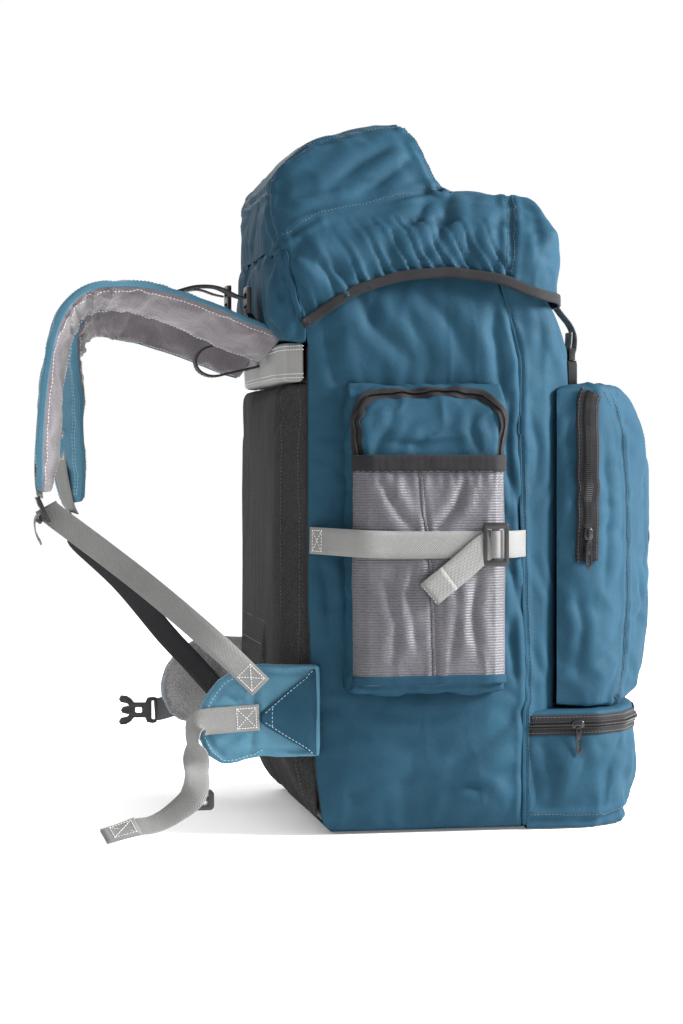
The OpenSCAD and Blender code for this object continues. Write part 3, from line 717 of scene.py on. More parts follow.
def edge_rows(mid, inset=2.5, face=1):
    """Lines just inside a ribbon's two edges, on its outer (1) or inner (-1) face."""
    return [mid["line"] + mid["side"] * s * (mid["w"] - inset) + mid["up"] * face * (mid["t"] + 0.1)
            for s in (-1, 1)]


def box_rows(mid, first, last, inset=3.0, face=1):
    """A sewn box with a cross between two points of a ribbon's line."""
    lift = mid["up"] * face * (mid["t"] + 0.15)
    a, b = mid["line"][first], mid["line"][last]
    w = mid["w"] - inset
    corners = [a + mid["side"][first] * w + lift[first], a - mid["side"][first] * w + lift[first],
               b - mid["side"][last] * w + lift[last], b + mid["side"][last] * w + lift[last]]
    path = [0, 1, 2, 3, 0, 2], [1, 3]
    return [resample(np.array([corners[i] for i in p]), 2.0) for p in path]


print("rows and ribbons ready")

# %% [markdown]
# ## Main bag: two side panels, one wrapped front panel and the base
# The sewn edges are held and the cloth between them bulges, then drag lines and seams are pressed in.

# %%
def side_panel_place(u, v):
    z = 2.5 + 518.5 * v
    back, seam = at(BACK_LINE, z), at(SEAM_LINE, z)
    x = back + (seam - back) * u
    bulge = 5.0 * (1 - (2 * u - 1) ** 4) * (1 - (2 * v - 1) ** 4)
    tuck = 9 * np.clip(1 - z / 26, 0, 1) ** 2 + 2.5 * np.clip((z - 500) / 21, 0, 1)
    return x, -(159.5 + bulge - tuck), z


LEFT_SIDE_FOLDS = [
    ([(-120, -162, 515), (-96, -164, 470), (-60, -164, 440)], 3.4, 9),
    ([(-150, -162, 500), (-138, -164, 450), (-132, -164, 400)], 2.6, 9),
    ([(-60, -162, 512), (-30, -164, 480), (-4, -164, 432)], 3.0, 10),
    ([(20, -160, 508), (16, -164, 470), (24, -164, 420), (30, -164, 380)], 3.6, 8),
    ([(36, -160, 430), (30, -164, 360), (34, -164, 300)], 2.6, 6),
    ([(30, -160, 350), (36, -164, 320), (43, -160, 296)], 2.6, 6),
    ([(28, -160, 262), (36, -164, 240), (44, -160, 200)], 3.0, 7),
    ([(30, -160, 210), (34, -164, 170), (40, -160, 130)], 2.6, 7),
    ([(-150, -160, 262), (-142, -164, 230), (-140, -164, 180)], 2.4, 7),
    ([(-148, -160, 130), (-110, -164, 96), (-60, -166, 84)], 3.0, 10),
    ([(-128, -162, 128), (-96, -166, 112), (-48, -166, 108), (10, -164, 118)], 2.4, 8),
    ([(44, -160, 116), (8, -164, 84), (-30, -166, 66)], 3.6, 10),
    ([(40, -160, 60), (0, -166, 44), (-60, -166, 38)], 3.0, 10),
    ([(-140, -160, 30), (-104, -164, 44), (-62, -164, 50)], 2.6, 8),
    ([(26, -160, 20), (10, -162, 36), (-20, -164, 50)], 2.4, 7),
]

side_left = grid("side_cloth_left", side_panel_place, 56, 132)
held = rim(side_left)
p0 = coords(side_left)
pocket_back = (p0[:, 0] > -116) & (p0[:, 0] < 12) & (p0[:, 2] > 142) & (p0[:, 2] < 412)
fill(side_left, held | pocket_back, pressure=3.0, grow=0.014, cap=6.0, bend=2.5)
applied(side_left, "SMOOTH", factor=0.5, iterations=2)
finer(side_left)
p0 = coords(side_left)
near_edge = np.minimum(np.abs(p0[:, 0] - at(SEAM_LINE, p0[:, 2])), 40)
push(side_left, 0.9 * noise(p0, (34, 60, 22), 3) * np.clip(near_edge / 14, 0, 1)
     + 0.8 * (ridges(p0, (26, 60, 70), 5) - 0.3) * np.clip(near_edge / 14, 0, 1))
for line, depth, width in LEFT_SIDE_FOLDS:
    fold(side_left, line, depth, width)
side_right = mirrored(side_left, "side_cloth_right")


def front_place(u, v):
    """Round the front from the left side seam to the right one, at each height."""
    z = 3.5 + 517.5 * v
    plan = np.array(both([(0, 160)] + BAG_PLAN[1:], 1), float)[::-1]
    s = np.concatenate([[0], np.cumsum(np.linalg.norm(np.diff(plan, axis=0), axis=1))]) / 1.0
    seam = at(SEAM_LINE, z)
    start = seam / s[-1]
    s_here = (start + (1 - 2 * start) * u) * s[-1]
    px, py = np.interp(s_here, s, plan[:, 0]), np.interp(s_here, s, plan[:, 1])
    x_front = at(FRONT_LINE, z)
    reach = np.clip((px - seam) / np.maximum(113 - seam, 1), 0, 1)
    tuck = 7 * np.clip(1 - z / 26, 0, 1) ** 2
    x = seam + (x_front - seam) * reach ** 0.96
    return x, py * (1 - tuck / 160), z


front_cloth = grid("front_cloth", front_place, 96, 110)
held = rim(front_cloth)
fill(front_cloth, held, pressure=1.5, grow=0.008, cap=3.0, bend=2.5)
finer(front_cloth)
p0 = coords(front_cloth)
push(front_cloth, 0.8 * noise(p0, (24, 24, 50), 8) + 0.7 * (ridges(p0, (30, 30, 60), 9) - 0.3))
for s in (-1, 1):
    for line, depth, width in [
        ([(60, s * 158, 505), (66, s * 158, 470), (64, s * 158, 430)], 2.6, 7),
        ([(80, s * 148, 520), (88, s * 140, 470), (96, s * 128, 440)], 2.6, 8),
        ([(52, s * 159, 400), (62, s * 157, 360), (60, s * 157, 320)], 2.2, 6),
        ([(84, s * 148, 330), (66, s * 156, 312), (52, s * 159, 300)], 2.0, 6),
        ([(56, s * 159, 260), (70, s * 154, 230), (84, s * 148, 214)], 2.4, 6),
        ([(52, s * 159, 180), (64, s * 156, 150), (76, s * 150, 140)], 2.4, 6),
    ]:
        fold(front_cloth, line, depth, width)

SIDE_SEAM = [(x, -160, z) for z, x in SEAM_LINE]
for obj in (side_left, side_right, front_cloth):
    for s in (-1, 1):
        groove(obj, [(x, s * 160, z) for x, _, z in SIDE_SEAM], 1.8, 3.0, 0.5)
thick(side_left, 1.2)
thick(side_right, 1.2)
thick(front_cloth, 1.2)


def base_place(u, v):
    y = -152 + 304 * v
    x = -137 + (181 + 30 * (1 - (2 * v - 1) ** 6)) * u
    rise = 1.6 * np.maximum(np.abs(2 * u - 1), np.abs(2 * v - 1)) ** 8
    return x, y, 1.0 + rise


base_cloth = grid("base_cloth", base_place, 40, 60, flip=True)
faces_out(thick(base_cloth, 1.5, offset=0.0))
dress(side_left, "pack", TEAL, ["side_panel_left"])
dress(side_right, "pack", TEAL, ["side_panel_right"])
dress(front_cloth, "pack", TEAL, ["front_panel"])
dress(base_cloth, "pack", TEAL_DEEP, ["base_panel"])
print("bag", len(side_left.data.polygons), len(front_cloth.data.polygons))

# %% [markdown]
# Piping in the side seams and a row of topstitching on the front side of each.

# %%
for s, side in ((-1, "left"), (1, "right")):
    seam = [(x + 0.6, s * 159.5, z) for x, _, z in SIDE_SEAM]
    tree = surface(front_cloth)
    pts, out = on_surface(tree, seam, 3.0, 0.3)
    cord, mid = ribbon("side_seam_" + side, pts[2:-1], out[2:-1], 3.4, 1.6, step=3.0)
    dress(cord, "pack", TEAL)
    row("side_stitch_" + side, [on_surface(tree, pts + np.array([5.0, 0, 0]), 3.0, 0.3)[0]], "pack",
        "teal_fabric", THREAD_DARK)

# %% [markdown]
# ## Back: flat padded panel with one stitched line down each side, lumbar pad, silver band, and the neck under the lid

# %%
back_pad = form("back_pad", side=PAD_SIDE, plan=both(PAD_PLAN, 1), voxel=5.0, rounds=4)
fill(back_pad, coords(back_pad)[:, 0] > -152, pressure=3.0, grow=0.012, cap=4.0)
finer(back_pad)
PANEL_LINES = [[(-190, s * 131, 20), (-190, s * 131, 200), (-190, s * 131, 418)] for s in (-1, 1)]
for line in PANEL_LINES:
    groove(back_pad, [(x + 6, y, z) for x, y, z in line], 1.1, 2.6, 0.3)
EDGE_LINES = [[(-178, s * 160, z) for z in range(30, 420, 20)] for s in (-1, 1)]
p0 = coords(back_pad)
push(back_pad, 0.7 * noise(p0, (40, 40, 60), 12) + 0.5 * (ridges(p0, (26, 26, 80), 13) - 0.3))
for line, depth, width in [([(-170, -158, 400), (-162, -158, 360), (-168, -158, 300)], 1.4, 7),
                           ([(-158, -158, 190), (-164, -158, 150), (-156, -158, 110)], 1.6, 7)]:
    fold(back_pad, line, depth, width)
dress(back_pad, "pack", CHARCOAL, ["back_panel", "back_foam"])
sew("back_pad_stitch", back_pad, [[(x + 4, y, z) for x, y, z in line] for line in PANEL_LINES], "pack",
    "back_fabric",
    THREAD_BLACK)
sew("back_edge_stitch", back_pad, EDGE_LINES, "pack", "back_fabric", THREAD_BLACK)

lumbar = form("lumbar_cushion", side=[(-182, 96), (-189, 106), (-191, 140), (-188, 188), (-181, 202)],
              plan=[(-193, -58), (-186, -75), (-175, -75), (-175, 75), (-186, 75), (-193, 58)], voxel=3.0, rounds=3)
finer(lumbar)
p0 = coords(lumbar)
edge = np.minimum(75 - np.abs(p0[:, 1]), np.minimum(p0[:, 2] - 96, 202 - p0[:, 2]))
push(lumbar, np.where(p0[:, 0] < -180, 1.5 * np.clip(edge / 24, 0, 1) ** 0.6 - 1.0, 0))
for z in (130, 166):
    groove(lumbar, [(-194, -60, z), (-194, 60, z)], 3.0, 4.0, 0.3)
dress(lumbar, "pack", CHARCOAL, ["lumbar_pad"])
rim_line = [(-193, -66, 103), (-193, 66, 103), (-193, 70, 150), (-190, 66, 194), (-190, -66, 194), (-193, -70, 150),
            (-193, -66, 103)]
sew("lumbar_stitch", lumbar, [rim_line, [(-194, -60, 133.5), (-194, 60, 133.5)],
                              [(-194, -60, 169.5), (-194, 60, 169.5)]],
    "pack", "back_fabric", THREAD_BLACK)

yoke = form("yoke_tape", side=[(-182, 421), (-184.5, 440), (-181, 458), (-163, 458), (-163, 421)],
            plan=both([(-140, 158), (-164, 158.5), (-177, 141), (-184, 105), (-186, 0)], 1), voxel=3.0, rounds=2)
p0 = coords(yoke)
push(yoke, 0.4 * noise(p0, 18, 21))
dress(yoke, "pack", BAND, ["back_yoke"])
loop = [(-164, 159, 0), (-178, 142, 0), (-185, 105, 0), (-187, 0, 0)]
around = both(loop, 1)
rows = [[(x, y, z) for x, y, _ in around] for z in (425, 428.5, 451, 454.5)]
sew("yoke_stitch", yoke, rows, "pack", "yoke_band", THREAD_GREY)

neck = form("neck_cloth", side=NECK_SIDE, plan=NECK_PLAN, voxel=4.5, rounds=4)
keep_faces(neck, lambda c, d: ~((c[:, 2] > 540) & (d[:, 2] > 0.5)) & ~((c[:, 0] > -166) & (d[:, 0] > 0.5)))
fill(neck, rim(neck), pressure=4.0, grow=0.05, cap=5.0)
finer(neck)
p0 = coords(neck)
push(neck, 1.4 * noise(p0, (18, 26, 30), 31) + 1.6 * (ridges(p0, (22, 22, 40), 32) - 0.3)
     - 0.8 * np.clip((np.abs(p0[:, 1]) < 118) * 1.0, 0, 1))
for s in (-1, 1):
    for line, depth, width in [([(-188, s * 148, 524), (-184, s * 156, 500), (-178, s * 160, 470)], 2.4, 6),
                               ([(-192, s * 120, 520), (-190, s * 128, 490), (-182, s * 136, 464)], 2.4, 7)]:
        fold(neck, line, depth, width)
thick(neck, 1.0)
dress(neck, "pack", TEAL, ["neck_panel"])
print("back", len(back_pad.data.polygons), len(neck.data.polygons))

# %% [markdown]
# ## Lid: raised rear pocket, gathered skirt and front panel on one filled cap
# The hem and the seam round the raised pocket are held while the cloth bulges; gathers run up from the elastic.

# %%
lid_cap = form("lid_cap", LID_SIDE, both(LID_END, 0), both(LID_FRONT_PLAN, 1) + LID_BACK_PLAN, voxel=5.0, rounds=4)


def lid_zone(c, d):
    """True where the cap is the lid's outer cloth, above its hem."""
    hem = np.interp(c[:, 0], [x for x, _ in HEM_LINE], [z for _, z in HEM_LINE])
    return (c[:, 2] > hem - 1) & ~((d[:, 2] < -0.6) & (c[:, 2] < 548) & (c[:, 0] < -180))


keep_faces(lid_cap, lid_zone)
BUMP_BASE = [(-186, -152, 543), (-172, -160, 562), (-146, -158, 578), (-100, -148, 591), (-60, -134, 600),
             (-30, -120, 606)]
BUMP_TOP = [(-188, -112, 604), (-176, -108, 626), (-146, -104, 648), (-96, -100, 665), (-58, -98, 672)]
BUMP_FRONT = [(-56, -99, 672), (-44, -106, 650), (-34, -116, 624), (-27, -122, 606)]
BUMP_BACK = [(-188, -114, 603), (-192, -128, 580), (-188, -146, 553), (-182, -158, 541)]
TOP_FRONT = [(-56, -98, 674), (-54, -50, 674), (-54, 0, 674), (-54, 50, 674), (-56, 98, 674)]
FOOT_FRONT = [(-27, -122, 605), (-26, -60, 605), (-26, 0, 605), (-26, 60, 605), (-27, 122, 605)]
TOP_BACK = [(-188, -112, 604), (-190, -66, 606), (-189, 0, 606), (-184, 66, 606), (-176, 112, 604)]
FRONT_SEAM = [(27, -172, 514), (34, -160, 556), (40, -136, 590), (42, -100, 604), (42, -50, 604), (42, 0, 604)]


def other_side(line):
    return [(x, -y, z) for x, y, z in line]


lid_seams = [BUMP_BASE, BUMP_TOP, BUMP_FRONT, BUMP_BACK, FRONT_SEAM]
lid_seams += [other_side(line) for line in lid_seams] + [TOP_FRONT, FOOT_FRONT, TOP_BACK]
p0 = coords(lid_cap)
pinned = rim(lid_cap)
for line in (BUMP_BASE, other_side(BUMP_BASE), BUMP_FRONT, other_side(BUMP_FRONT), FOOT_FRONT, FRONT_SEAM,
             other_side(FRONT_SEAM)):
    pinned |= line_distance(p0, line)[0] < 4.0
pinned |= coords(lid_cap)[:, 0] > 70
fill(lid_cap, pinned, pressure=3.0, grow=0.02, cap=5.0, bend=1.6)
applied(lid_cap, "SMOOTH", factor=0.5, iterations=2)
finer(lid_cap)
p0 = coords(lid_cap)
hem = np.interp(p0[:, 0], [x for x, _ in HEM_LINE], [z for _, z in HEM_LINE])
rise = np.maximum(p0[:, 2] - hem, 0)
skirt = ((p0[:, 0] < 30) & (np.abs(p0[:, 1]) > 150)).astype(float)
run = p0[:, 0] + 0.45 * rise + 5 * noise(p0, (40, 40, 30), 41)
gather = np.sin(2 * np.pi * run / 11.5) + 0.6 * np.sin(2 * np.pi * run / 7.3 + 1.3 + 2 * noise(p0, 30, 42))
push(lid_cap, skirt * (2.4 * gather * np.exp(-rise / 26) + 2.0 * noise(p0, (16, 40, 34), 43) * np.exp(-rise / 50)))
p0 = coords(lid_cap)
push(lid_cap, 1.1 * noise(p0, (36, 36, 24), 44) + 1.4 * (ridges(p0, (34, 34, 26), 45) - 0.3))
LID_FOLDS = [
    ([(-184, -150, 590), (-150, -140, 604), (-92, -128, 612)], 3.4, 8),
    ([(-186, -158, 576), (-140, -146, 590), (-100, -140, 600)], 2.6, 7),
    ([(-60, -110, 656), (-100, -116, 632), (-140, -132, 600)], 3.0, 9),
    ([(-198, -146, 616), (-184, -130, 626), (-160, -120, 640)], 2.2, 6),
    ([(-48, -112, 640), (-80, -124, 616), (-110, -138, 596)], 2.4, 7),
    ([(-30, -122, 600), (-60, -150, 566), (-110, -164, 536)], 3.4, 9),
    ([(-14, -116, 602), (-30, -146, 570), (-60, -168, 534)], 3.0, 8),
    ([(0, -116, 600), (0, -150, 560), (-14, -170, 530)], 2.6, 7),
    ([(36, -140, 588), (20, -154, 560), (16, -170, 524)], 2.4, 7),
    ([(30, -150, 574), (-20, -150, 572), (-70, -152, 570), (-130, -160, 566)], 2.8, 8),
    ([(-190, -168, 540), (-170, -171, 510), (-160, -172, 484)], 3.0, 7),
    ([(-196, -166, 548), (-150, -168, 528), (-110, -171, 514)], 3.4, 8),
    ([(50, -164, 512), (60, -150, 560), (52, -120, 592)], 2.6, 8),
    ([(72, -150, 510), (78, -130, 548), (66, -100, 590)], 2.4, 8),
    ([(98, -100, 512), (92, -60, 550), (80, -40, 580)], 2.0, 8),
    ([(100, -30, 508), (96, 10, 540), (84, 30, 572)], 2.0, 8),
]
for line, depth, width in LID_FOLDS:
    fold(lid_cap, line, depth, width)
    fold(lid_cap, other_side([(x + 4, y * 0.99, z - 3) for x, y, z in line]), depth * 0.9, width)
for line in lid_seams:
    groove(lid_cap, line, 2.2, 3.2, 0.6)
lid_tree = surface(lid_cap)
dress(lid_cap, "lid", TEAL, ["lid_pocket", "lid_skirt", "lid_front"])
sew("lid_stitch", lid_cap, [line for line in lid_seams if line is not FOOT_FRONT], "lid", "teal_fabric",
    THREAD_DARK, gaps=(4.0,))
sew("lid_front_stitch", lid_cap, [FRONT_SEAM, other_side(FRONT_SEAM)], "lid", "teal_fabric", THREAD_DARK,
    gaps=(-4.0, 4.0))

# %% [markdown]
# The black elastic in the hem follows the cap's own lower edge.

# %%
HEM_X = np.linspace(-168, 104, 60)
hem_line = [(x, -float(np.interp(x, [-190, 27, 62, 88, 102, 107], [172, 172, 168, 152, 118, 0])),
             float(np.interp(x, [a for a, _ in HEM_LINE], [b for _, b in HEM_LINE])) + 2) for x in HEM_X]
hem_line = hem_line[:-1] + [(106, y, 500.5) for y in np.linspace(-100, 0, 12)]
hem_line = hem_line + [(x, -y, z) for x, y, z in hem_line[::-1][1:]]
pts, out = on_surface(lid_tree, hem_line, 3.0, 0.7)
step = np.linalg.norm(np.diff(pts, axis=0), axis=1)
good = np.concatenate([[True], step > 0.8])
pts, out = pts[good], out[good]
out = unit(out * np.array([1, 1, 0.15]))
for _ in range(14):
    pts[1:-1] = 0.25 * pts[:-2] + 0.5 * pts[1:-1] + 0.25 * pts[2:]
    out[1:-1] = unit(0.25 * out[:-2] + 0.5 * out[1:-1] + 0.25 * out[2:])
hem_band, mid = ribbon("hem_elastic", pts + out * 1.0, out, 9.5, 3.2, step=2.6)
dress(hem_band, "lid", ELASTIC, ["lid_hem"])
for s, side in ((-1, "left"), (1, "right")):
    edge = [(-182, s * 163, 541), (-178, s * 167, 516), (-172, s * 170, 488), (-167, s * 171, 472)]
    pts, out = on_surface(lid_tree, edge, 3.0, 0.6)
    binding, _ = ribbon("lid_corner_binding_" + side, pts[::3], (-0.5, s * 0.8, 0), 5.0, 1.6)
    dress(binding, "lid", TEAL)
thick(lid_cap, 1.0)

# %% [markdown]
# The lid's floor, a zip across the foot of the raised pocket, its slider and its pull.

# %%
def plate(name, outline, thickness, matrix, holes=(), bevel=0.8):
    """A moulded plate: an outline in its own X-Y plane with holes, made thick, placed and bevelled."""
    curve = bpy.data.curves.new(name, "CURVE")
    curve.dimensions = "2D"
    curve.fill_mode = "BOTH"
    for loop in [outline, *holes]:
        spline = curve.splines.new("POLY")
        spline.points.add(len(loop) - 1)
        for point, (x, y) in zip(spline.points, loop):
            point.co = (x * 0.001, y * 0.001, 0, 1)
        spline.use_cyclic_u = True
    holder = bpy.data.objects.new(name, curve)
    scene.collection.objects.link(holder)
    bpy.context.view_layer.update()
    flat = bpy.data.meshes.new_from_object(holder)
    bpy.data.objects.remove(holder)
    bpy.data.curves.remove(curve)
    obj = bpy.data.objects.new(name, flat)
    flat.name = name
    scene.collection.objects.link(obj)
    bm = bmesh.new()
    bm.from_mesh(flat)
    bmesh.ops.remove_doubles(bm, verts=bm.verts, dist=1e-6)
    bmesh.ops.dissolve_limit(bm, angle_limit=0.02, verts=bm.verts, edges=bm.edges)
    grown = bmesh.ops.extrude_face_region(bm, geom=bm.faces[:])
    top = [v for v in grown["geom"] if isinstance(v, bmesh.types.BMVert)]
    bmesh.ops.translate(bm, verts=top, vec=(0, 0, thickness * 0.001))
    bmesh.ops.translate(bm, verts=bm.verts, vec=(0, 0, -thickness * 0.0005))
    bmesh.ops.recalc_face_normals(bm, faces=bm.faces)
    bm.to_mesh(flat)
    bm.free()
    applied(obj, "BEVEL", width=bevel * 0.001, segments=2, limit_method="ANGLE", angle_limit=0.7)
    m = Matrix(matrix).to_4x4() if len(matrix) == 3 else Matrix(matrix)
    obj.data.transform(m)
    return faces_out(obj)


def placed(at_mm, x_axis, y_axis):
    """Matrix whose plate X and Y look along the given ways, with its middle at at_mm."""
    x = Vector(x_axis).normalized()
    z = x.cross(Vector(y_axis)).normalized()
    y = z.cross(x)
    m = Matrix.Identity(4)
    for i, axis in enumerate((x, y, z)):
        for k in range(3):
            m[k][i] = axis[k]
    for k in range(3):
        m[k][3] = at_mm[k] * 0.001
    return m


def rounded(w, h, r, corners=5):
    """Outline of a rounded rectangle, middle at zero."""
    pts = []
    for cx, cy, a in ((w / 2 - r, h / 2 - r, 0), (-w / 2 + r, h / 2 - r, 90), (-w / 2 + r, -h / 2 + r, 180),
                      (w / 2 - r, -h / 2 + r, 270)):
        for k in range(corners + 1):
            t = math.radians(a + 90 * k / corners)
            pts.append((cx + r * math.cos(t), cy + r * math.sin(t)))
    return pts


def slot_hole(cx, cy, w, h, r=1.2):
    return [(cx + x, cy + y) for x, y in rounded(w, h, r)][::-1]


def zip_pair(name, line, out, body, width=22.0, coil=5.0):
    """A zip: tape on both sides of a coil of teeth."""
    tape, mid = ribbon(name + "_tape", line, out, width, 1.2, step=4.0)
    dress(tape, body, TAPE)
    up = mid["line"] + mid["up"] * 1.1
    row(name + "_teeth", [resample(up, 2.0)], body, "zip_tape", COIL, tree=TOOTH_TREE, pitch=1.9, length=1.15,
        width=coil, height=1.6)
    shoulders = [mid["line"] + mid["side"] * s * coil * 0.62 + mid["up"] * 0.8 for s in (-1, 1)]
    row(name + "_stitch", [mid["line"] + mid["side"] * s * (width / 2 - 2.2) + mid["up"] * 0.7 for s in (-1, 1)],
        body, "zip_tape", THREAD_BLACK)
    row(name + "_edge", shoulders, body, "zip_tape", COIL, tree=TOOTH_TREE, pitch=1.9, length=1.0, width=1.4,
        height=1.2)
    return tape


def zip_slider(name, where, along, out, body, node):
    """The slider's body plate with its rounded nose, and its bridge."""
    m = placed(where, along, np.cross(out, along))
    shape = [(-6, -2.6), (-3, -4.2), (3.6, -4.2), (6, -2.4), (6, 2.4), (3.6, 4.2), (-3, 4.2), (-6, 2.6)]
    body_plate = plate(name, shape, 3.0, m, bevel=0.7)
    bridge = plate(name + "_bridge", rounded(9, 2.6, 1.1), 3.2,
                   placed(np.asarray(where) + np.asarray(out) * 2.6, along, np.cross(out, along)), bevel=0.6)
    for obj in (body_plate, bridge):
        dress(obj, body, METAL)
    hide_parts(node)
    return body_plate


def zip_pull(name, top, down, out, body, node, length=26.0, width=6.4):
    """A flat stamped pull with a window, hanging from the slider's bridge."""
    mid_at = np.asarray(top) + np.asarray(down) * length / 2
    m = placed(mid_at, down, np.cross(out, down))
    outline = [(-length / 2, -1.8), (-length / 2 + 2, -2.6), (length / 2 - 4, -width / 2), (length / 2, -width / 4),
               (length / 2, width / 4), (length / 2 - 4, width / 2), (-length / 2 + 2, 2.6), (-length / 2, 1.8)]
    holes = [slot_hole(-length / 2 + 3.2, 0, 3.0, 2.4, 0.9), slot_hole(length * 0.16, 0, length * 0.4, width * 0.4,
                                                            1.0)]
    obj = plate(name, outline, 1.5, m, holes, bevel=0.35)
    dress(obj, body, METAL, [node])
    return obj


lid_zip_line = [(-17, y, 604.2) for y in (-100, -60, -20, 20, 60, 100)]
zip_line = []
for p in lid_zip_line:
    hit, n, _, _ = lid_tree.find_nearest(Vector(p))
    zip_line.append(np.array(hit) + np.array([0, 0, 0.9]))
zip_line = np.array(zip_line)
zip_line[:, 2] = np.maximum(zip_line[:, 2], 603.8)
zip_pair("lid_zip_line", zip_line, [(0, 0, 1)] * len(zip_line), "lid", width=16)
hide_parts("lid_zip")
slider_z = float(np.interp(-84, zip_line[:, 1], zip_line[:, 2])) + 2.2
zip_slider("lid_zip_slider", (-17, -84, slider_z), (0, -1, 0), (0, 0, 1), "lid_slider", "lid_slider")
zip_pull("lid_zip_pull", (-17, -89, slider_z + 2.2), unit(np.array([0.06, -0.96, -0.25])), (0, -0.25, 0.96),
         "lid_pull", "lid_pull")
lid_floor_cloth = grid("lid_floor_cloth", lambda u, v: (-182 + 274 * u,
                                                        (-155 + 310 * v) * np.interp(u, [0, 0.7, 1], [1, 1, 0.62]),
                                                        542 + 3 * np.sin(np.pi * u) * np.sin(np.pi * v)), 40, 44)
p0 = coords(lid_floor_cloth)
push(lid_floor_cloth, 1.2 * noise(p0, 40, 51))
faces_out(thick(lid_floor_cloth, 1.2, offset=0.0))
dress(lid_floor_cloth, "lid", COATING, ["lid_floor"])
print("lid", len(lid_cap.data.polygons))

# %% [markdown]
# ## Front pocket and the bottom compartment under it

# %%
front_pocket = form("front_pocket_cloth", side=POCKET_SIDE, plan=both(POCKET_PLAN, 1), voxel=5.0, rounds=5)
keep_faces(front_pocket, lambda c, d: ~((c[:, 0] < 86) & (d[:, 0] < -0.5)))
GUSSET = [(142, -131, 122), (154, -123, 150), (158, -119, 200), (160, -117, 265), (158, -119, 320),
          (150, -126, 370),
          (140, -131, 398), (122, -136, 416)]
OUTER = [(178, -92, 130), (190, -78, 180), (195, -70, 250), (192, -74, 330), (180, -88, 382)]
POCKET_TOP = [(122, -136, 417), (126, -60, 419), (127, 0, 419), (126, 60, 419), (122, 136, 417)]
POCKET_FOOT = [(142, -131, 117), (160, -90, 119), (172, 0, 122), (160, 90, 119), (142, 131, 117)]
pocket_seams = [GUSSET, other_side(GUSSET), POCKET_TOP, POCKET_FOOT]
pinned = rim(front_pocket)
for line in pocket_seams:
    pinned |= line_distance(coords(front_pocket), line)[0] < 3.5
fill(front_pocket, pinned, pressure=3.5, grow=0.016, cap=5.0, bend=2.0)
applied(front_pocket, "SMOOTH", factor=0.5, iterations=2)
finer(front_pocket)
p0 = coords(front_pocket)
push(front_pocket, 1.0 * noise(p0, (40, 34, 50), 61) + 1.2 * (ridges(p0, (34, 34, 60), 62) - 0.3))
for line, depth, width in [
    ([(92, -150, 400), (100, -150, 330), (96, -150, 260)], 2.2, 6),
                           ([(128, -146, 380), (134, -142, 300), (130, -146, 220)], 2.8, 8),
    ([(150, -130, 180), (130, -146, 160), (100, -150, 150)], 2.6, 8),
                           ([(170, -106, 170), (184, -86, 210), (178, -98, 260)], 2.6, 8),
    ([(98, -150, 230), (106, -150, 190), (100, -150, 140)], 2.2, 6),
                           ([(186, -60, 350), (200, -40, 300), (196, -60, 250)], 2.4, 8),
    ([(146, -128, 390), (168, -104, 370), (184, -70, 352)], 2.4, 7),
                           ([(196, -50, 160), (200, 0, 180), (196, 50, 156)], 2.8, 9),
    ([(200, -56, 300), (204, -10, 292), (200, 40, 306)], 2.0, 8),
                           ([(186, -66, 372), (190, 0, 362), (184, 66, 374)], 2.4, 8),
]:
    fold(front_pocket, line, depth, width)
    fold(front_pocket, other_side([(x, y, z - 6) for x, y, z in line]), depth * 0.9, width)
for line in pocket_seams:
    groove(front_pocket, line, 2.2, 3.2, 0.6)
for line in (OUTER, other_side(OUTER)):
    groove(front_pocket, line, 1.2, 3.0, 0.3)
dress(front_pocket, "pack", TEAL, ["front_pocket"])
sew("front_pocket_stitch", front_pocket, pocket_seams, "pack", "teal_fabric", THREAD_DARK, gaps=(-4.0, 4.0))
sew("front_panel_stitch", front_pocket, [OUTER, other_side(OUTER)], "pack", "teal_fabric", THREAD_DARK)
pocket_tree = surface(front_pocket)
zip_route = [(110, -151, 252), (110, -152, 290), (110, -152, 340), (110, -152, 380), (111, -151, 402),
             (114, -147, 413)]
pts, out = on_surface(pocket_tree, smooth_line(zip_route, 6), 6.0, 1.2)
out = unit(out * [0.25, 1, 0.25])
pts[:, 1] = np.minimum(pts[:, 1], -150.9)
zip_pair("front_zip_line", pts, out, "pack", width=22)
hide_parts("front_zip")
zy = float(np.interp(278, pts[:, 2], pts[:, 1])) - 2.0
zip_slider("front_zip_slider", (110, zy, 278), (0, 0, 1), (0, -1, 0), "front_slider", "front_slider")
zip_pull("front_zip_pull", (110, zy - 2.0, 271), (0, -0.03, -1), (0, -1, 0), "front_pull", "front_pull")

bottom = form("bottom_compartment_cloth", side=BOTTOM_SIDE, plan=both(BOTTOM_PLAN, 1), voxel=5.0, rounds=4)
keep_faces(bottom, lambda c, d: ~((c[:, 0] < 56) & (d[:, 0] < -0.5)))
BOTTOM_SEAM = [(50, -158, 8), (110, -156, 6), (150, -138, 10), (164, -104, 16), (168, 0, 18), (164, 104, 16),
               (150, 138, 10),
               (110, 156, 6), (50, 158, 8)]
BAND_PLAN = [(52, -158), (70, -156.5), (118, -156.5), (140, -146), (156, -126), (172, -100), (184, -55), (187.5, 0)]
BAND_PLAN = BAND_PLAN + [(x, -y) for x, y in BAND_PLAN[::-1][1:]]
pinned = rim(bottom) | (coords(bottom)[:, 2] > 86)
pinned |= line_distance(coords(bottom), BOTTOM_SEAM)[0] < 3.5
fill(bottom, pinned, pressure=3.5, grow=0.02, cap=5.0, bend=1.6)
applied(bottom, "SMOOTH", factor=0.5, iterations=2)
finer(bottom)
p0 = coords(bottom)
low = np.clip((84 - p0[:, 2]) / 20, 0, 1)
push(bottom, low * (1.3 * noise(p0, (30, 30, 26), 71) + 1.6 * (ridges(p0, (26, 26, 40), 72) - 0.3)))
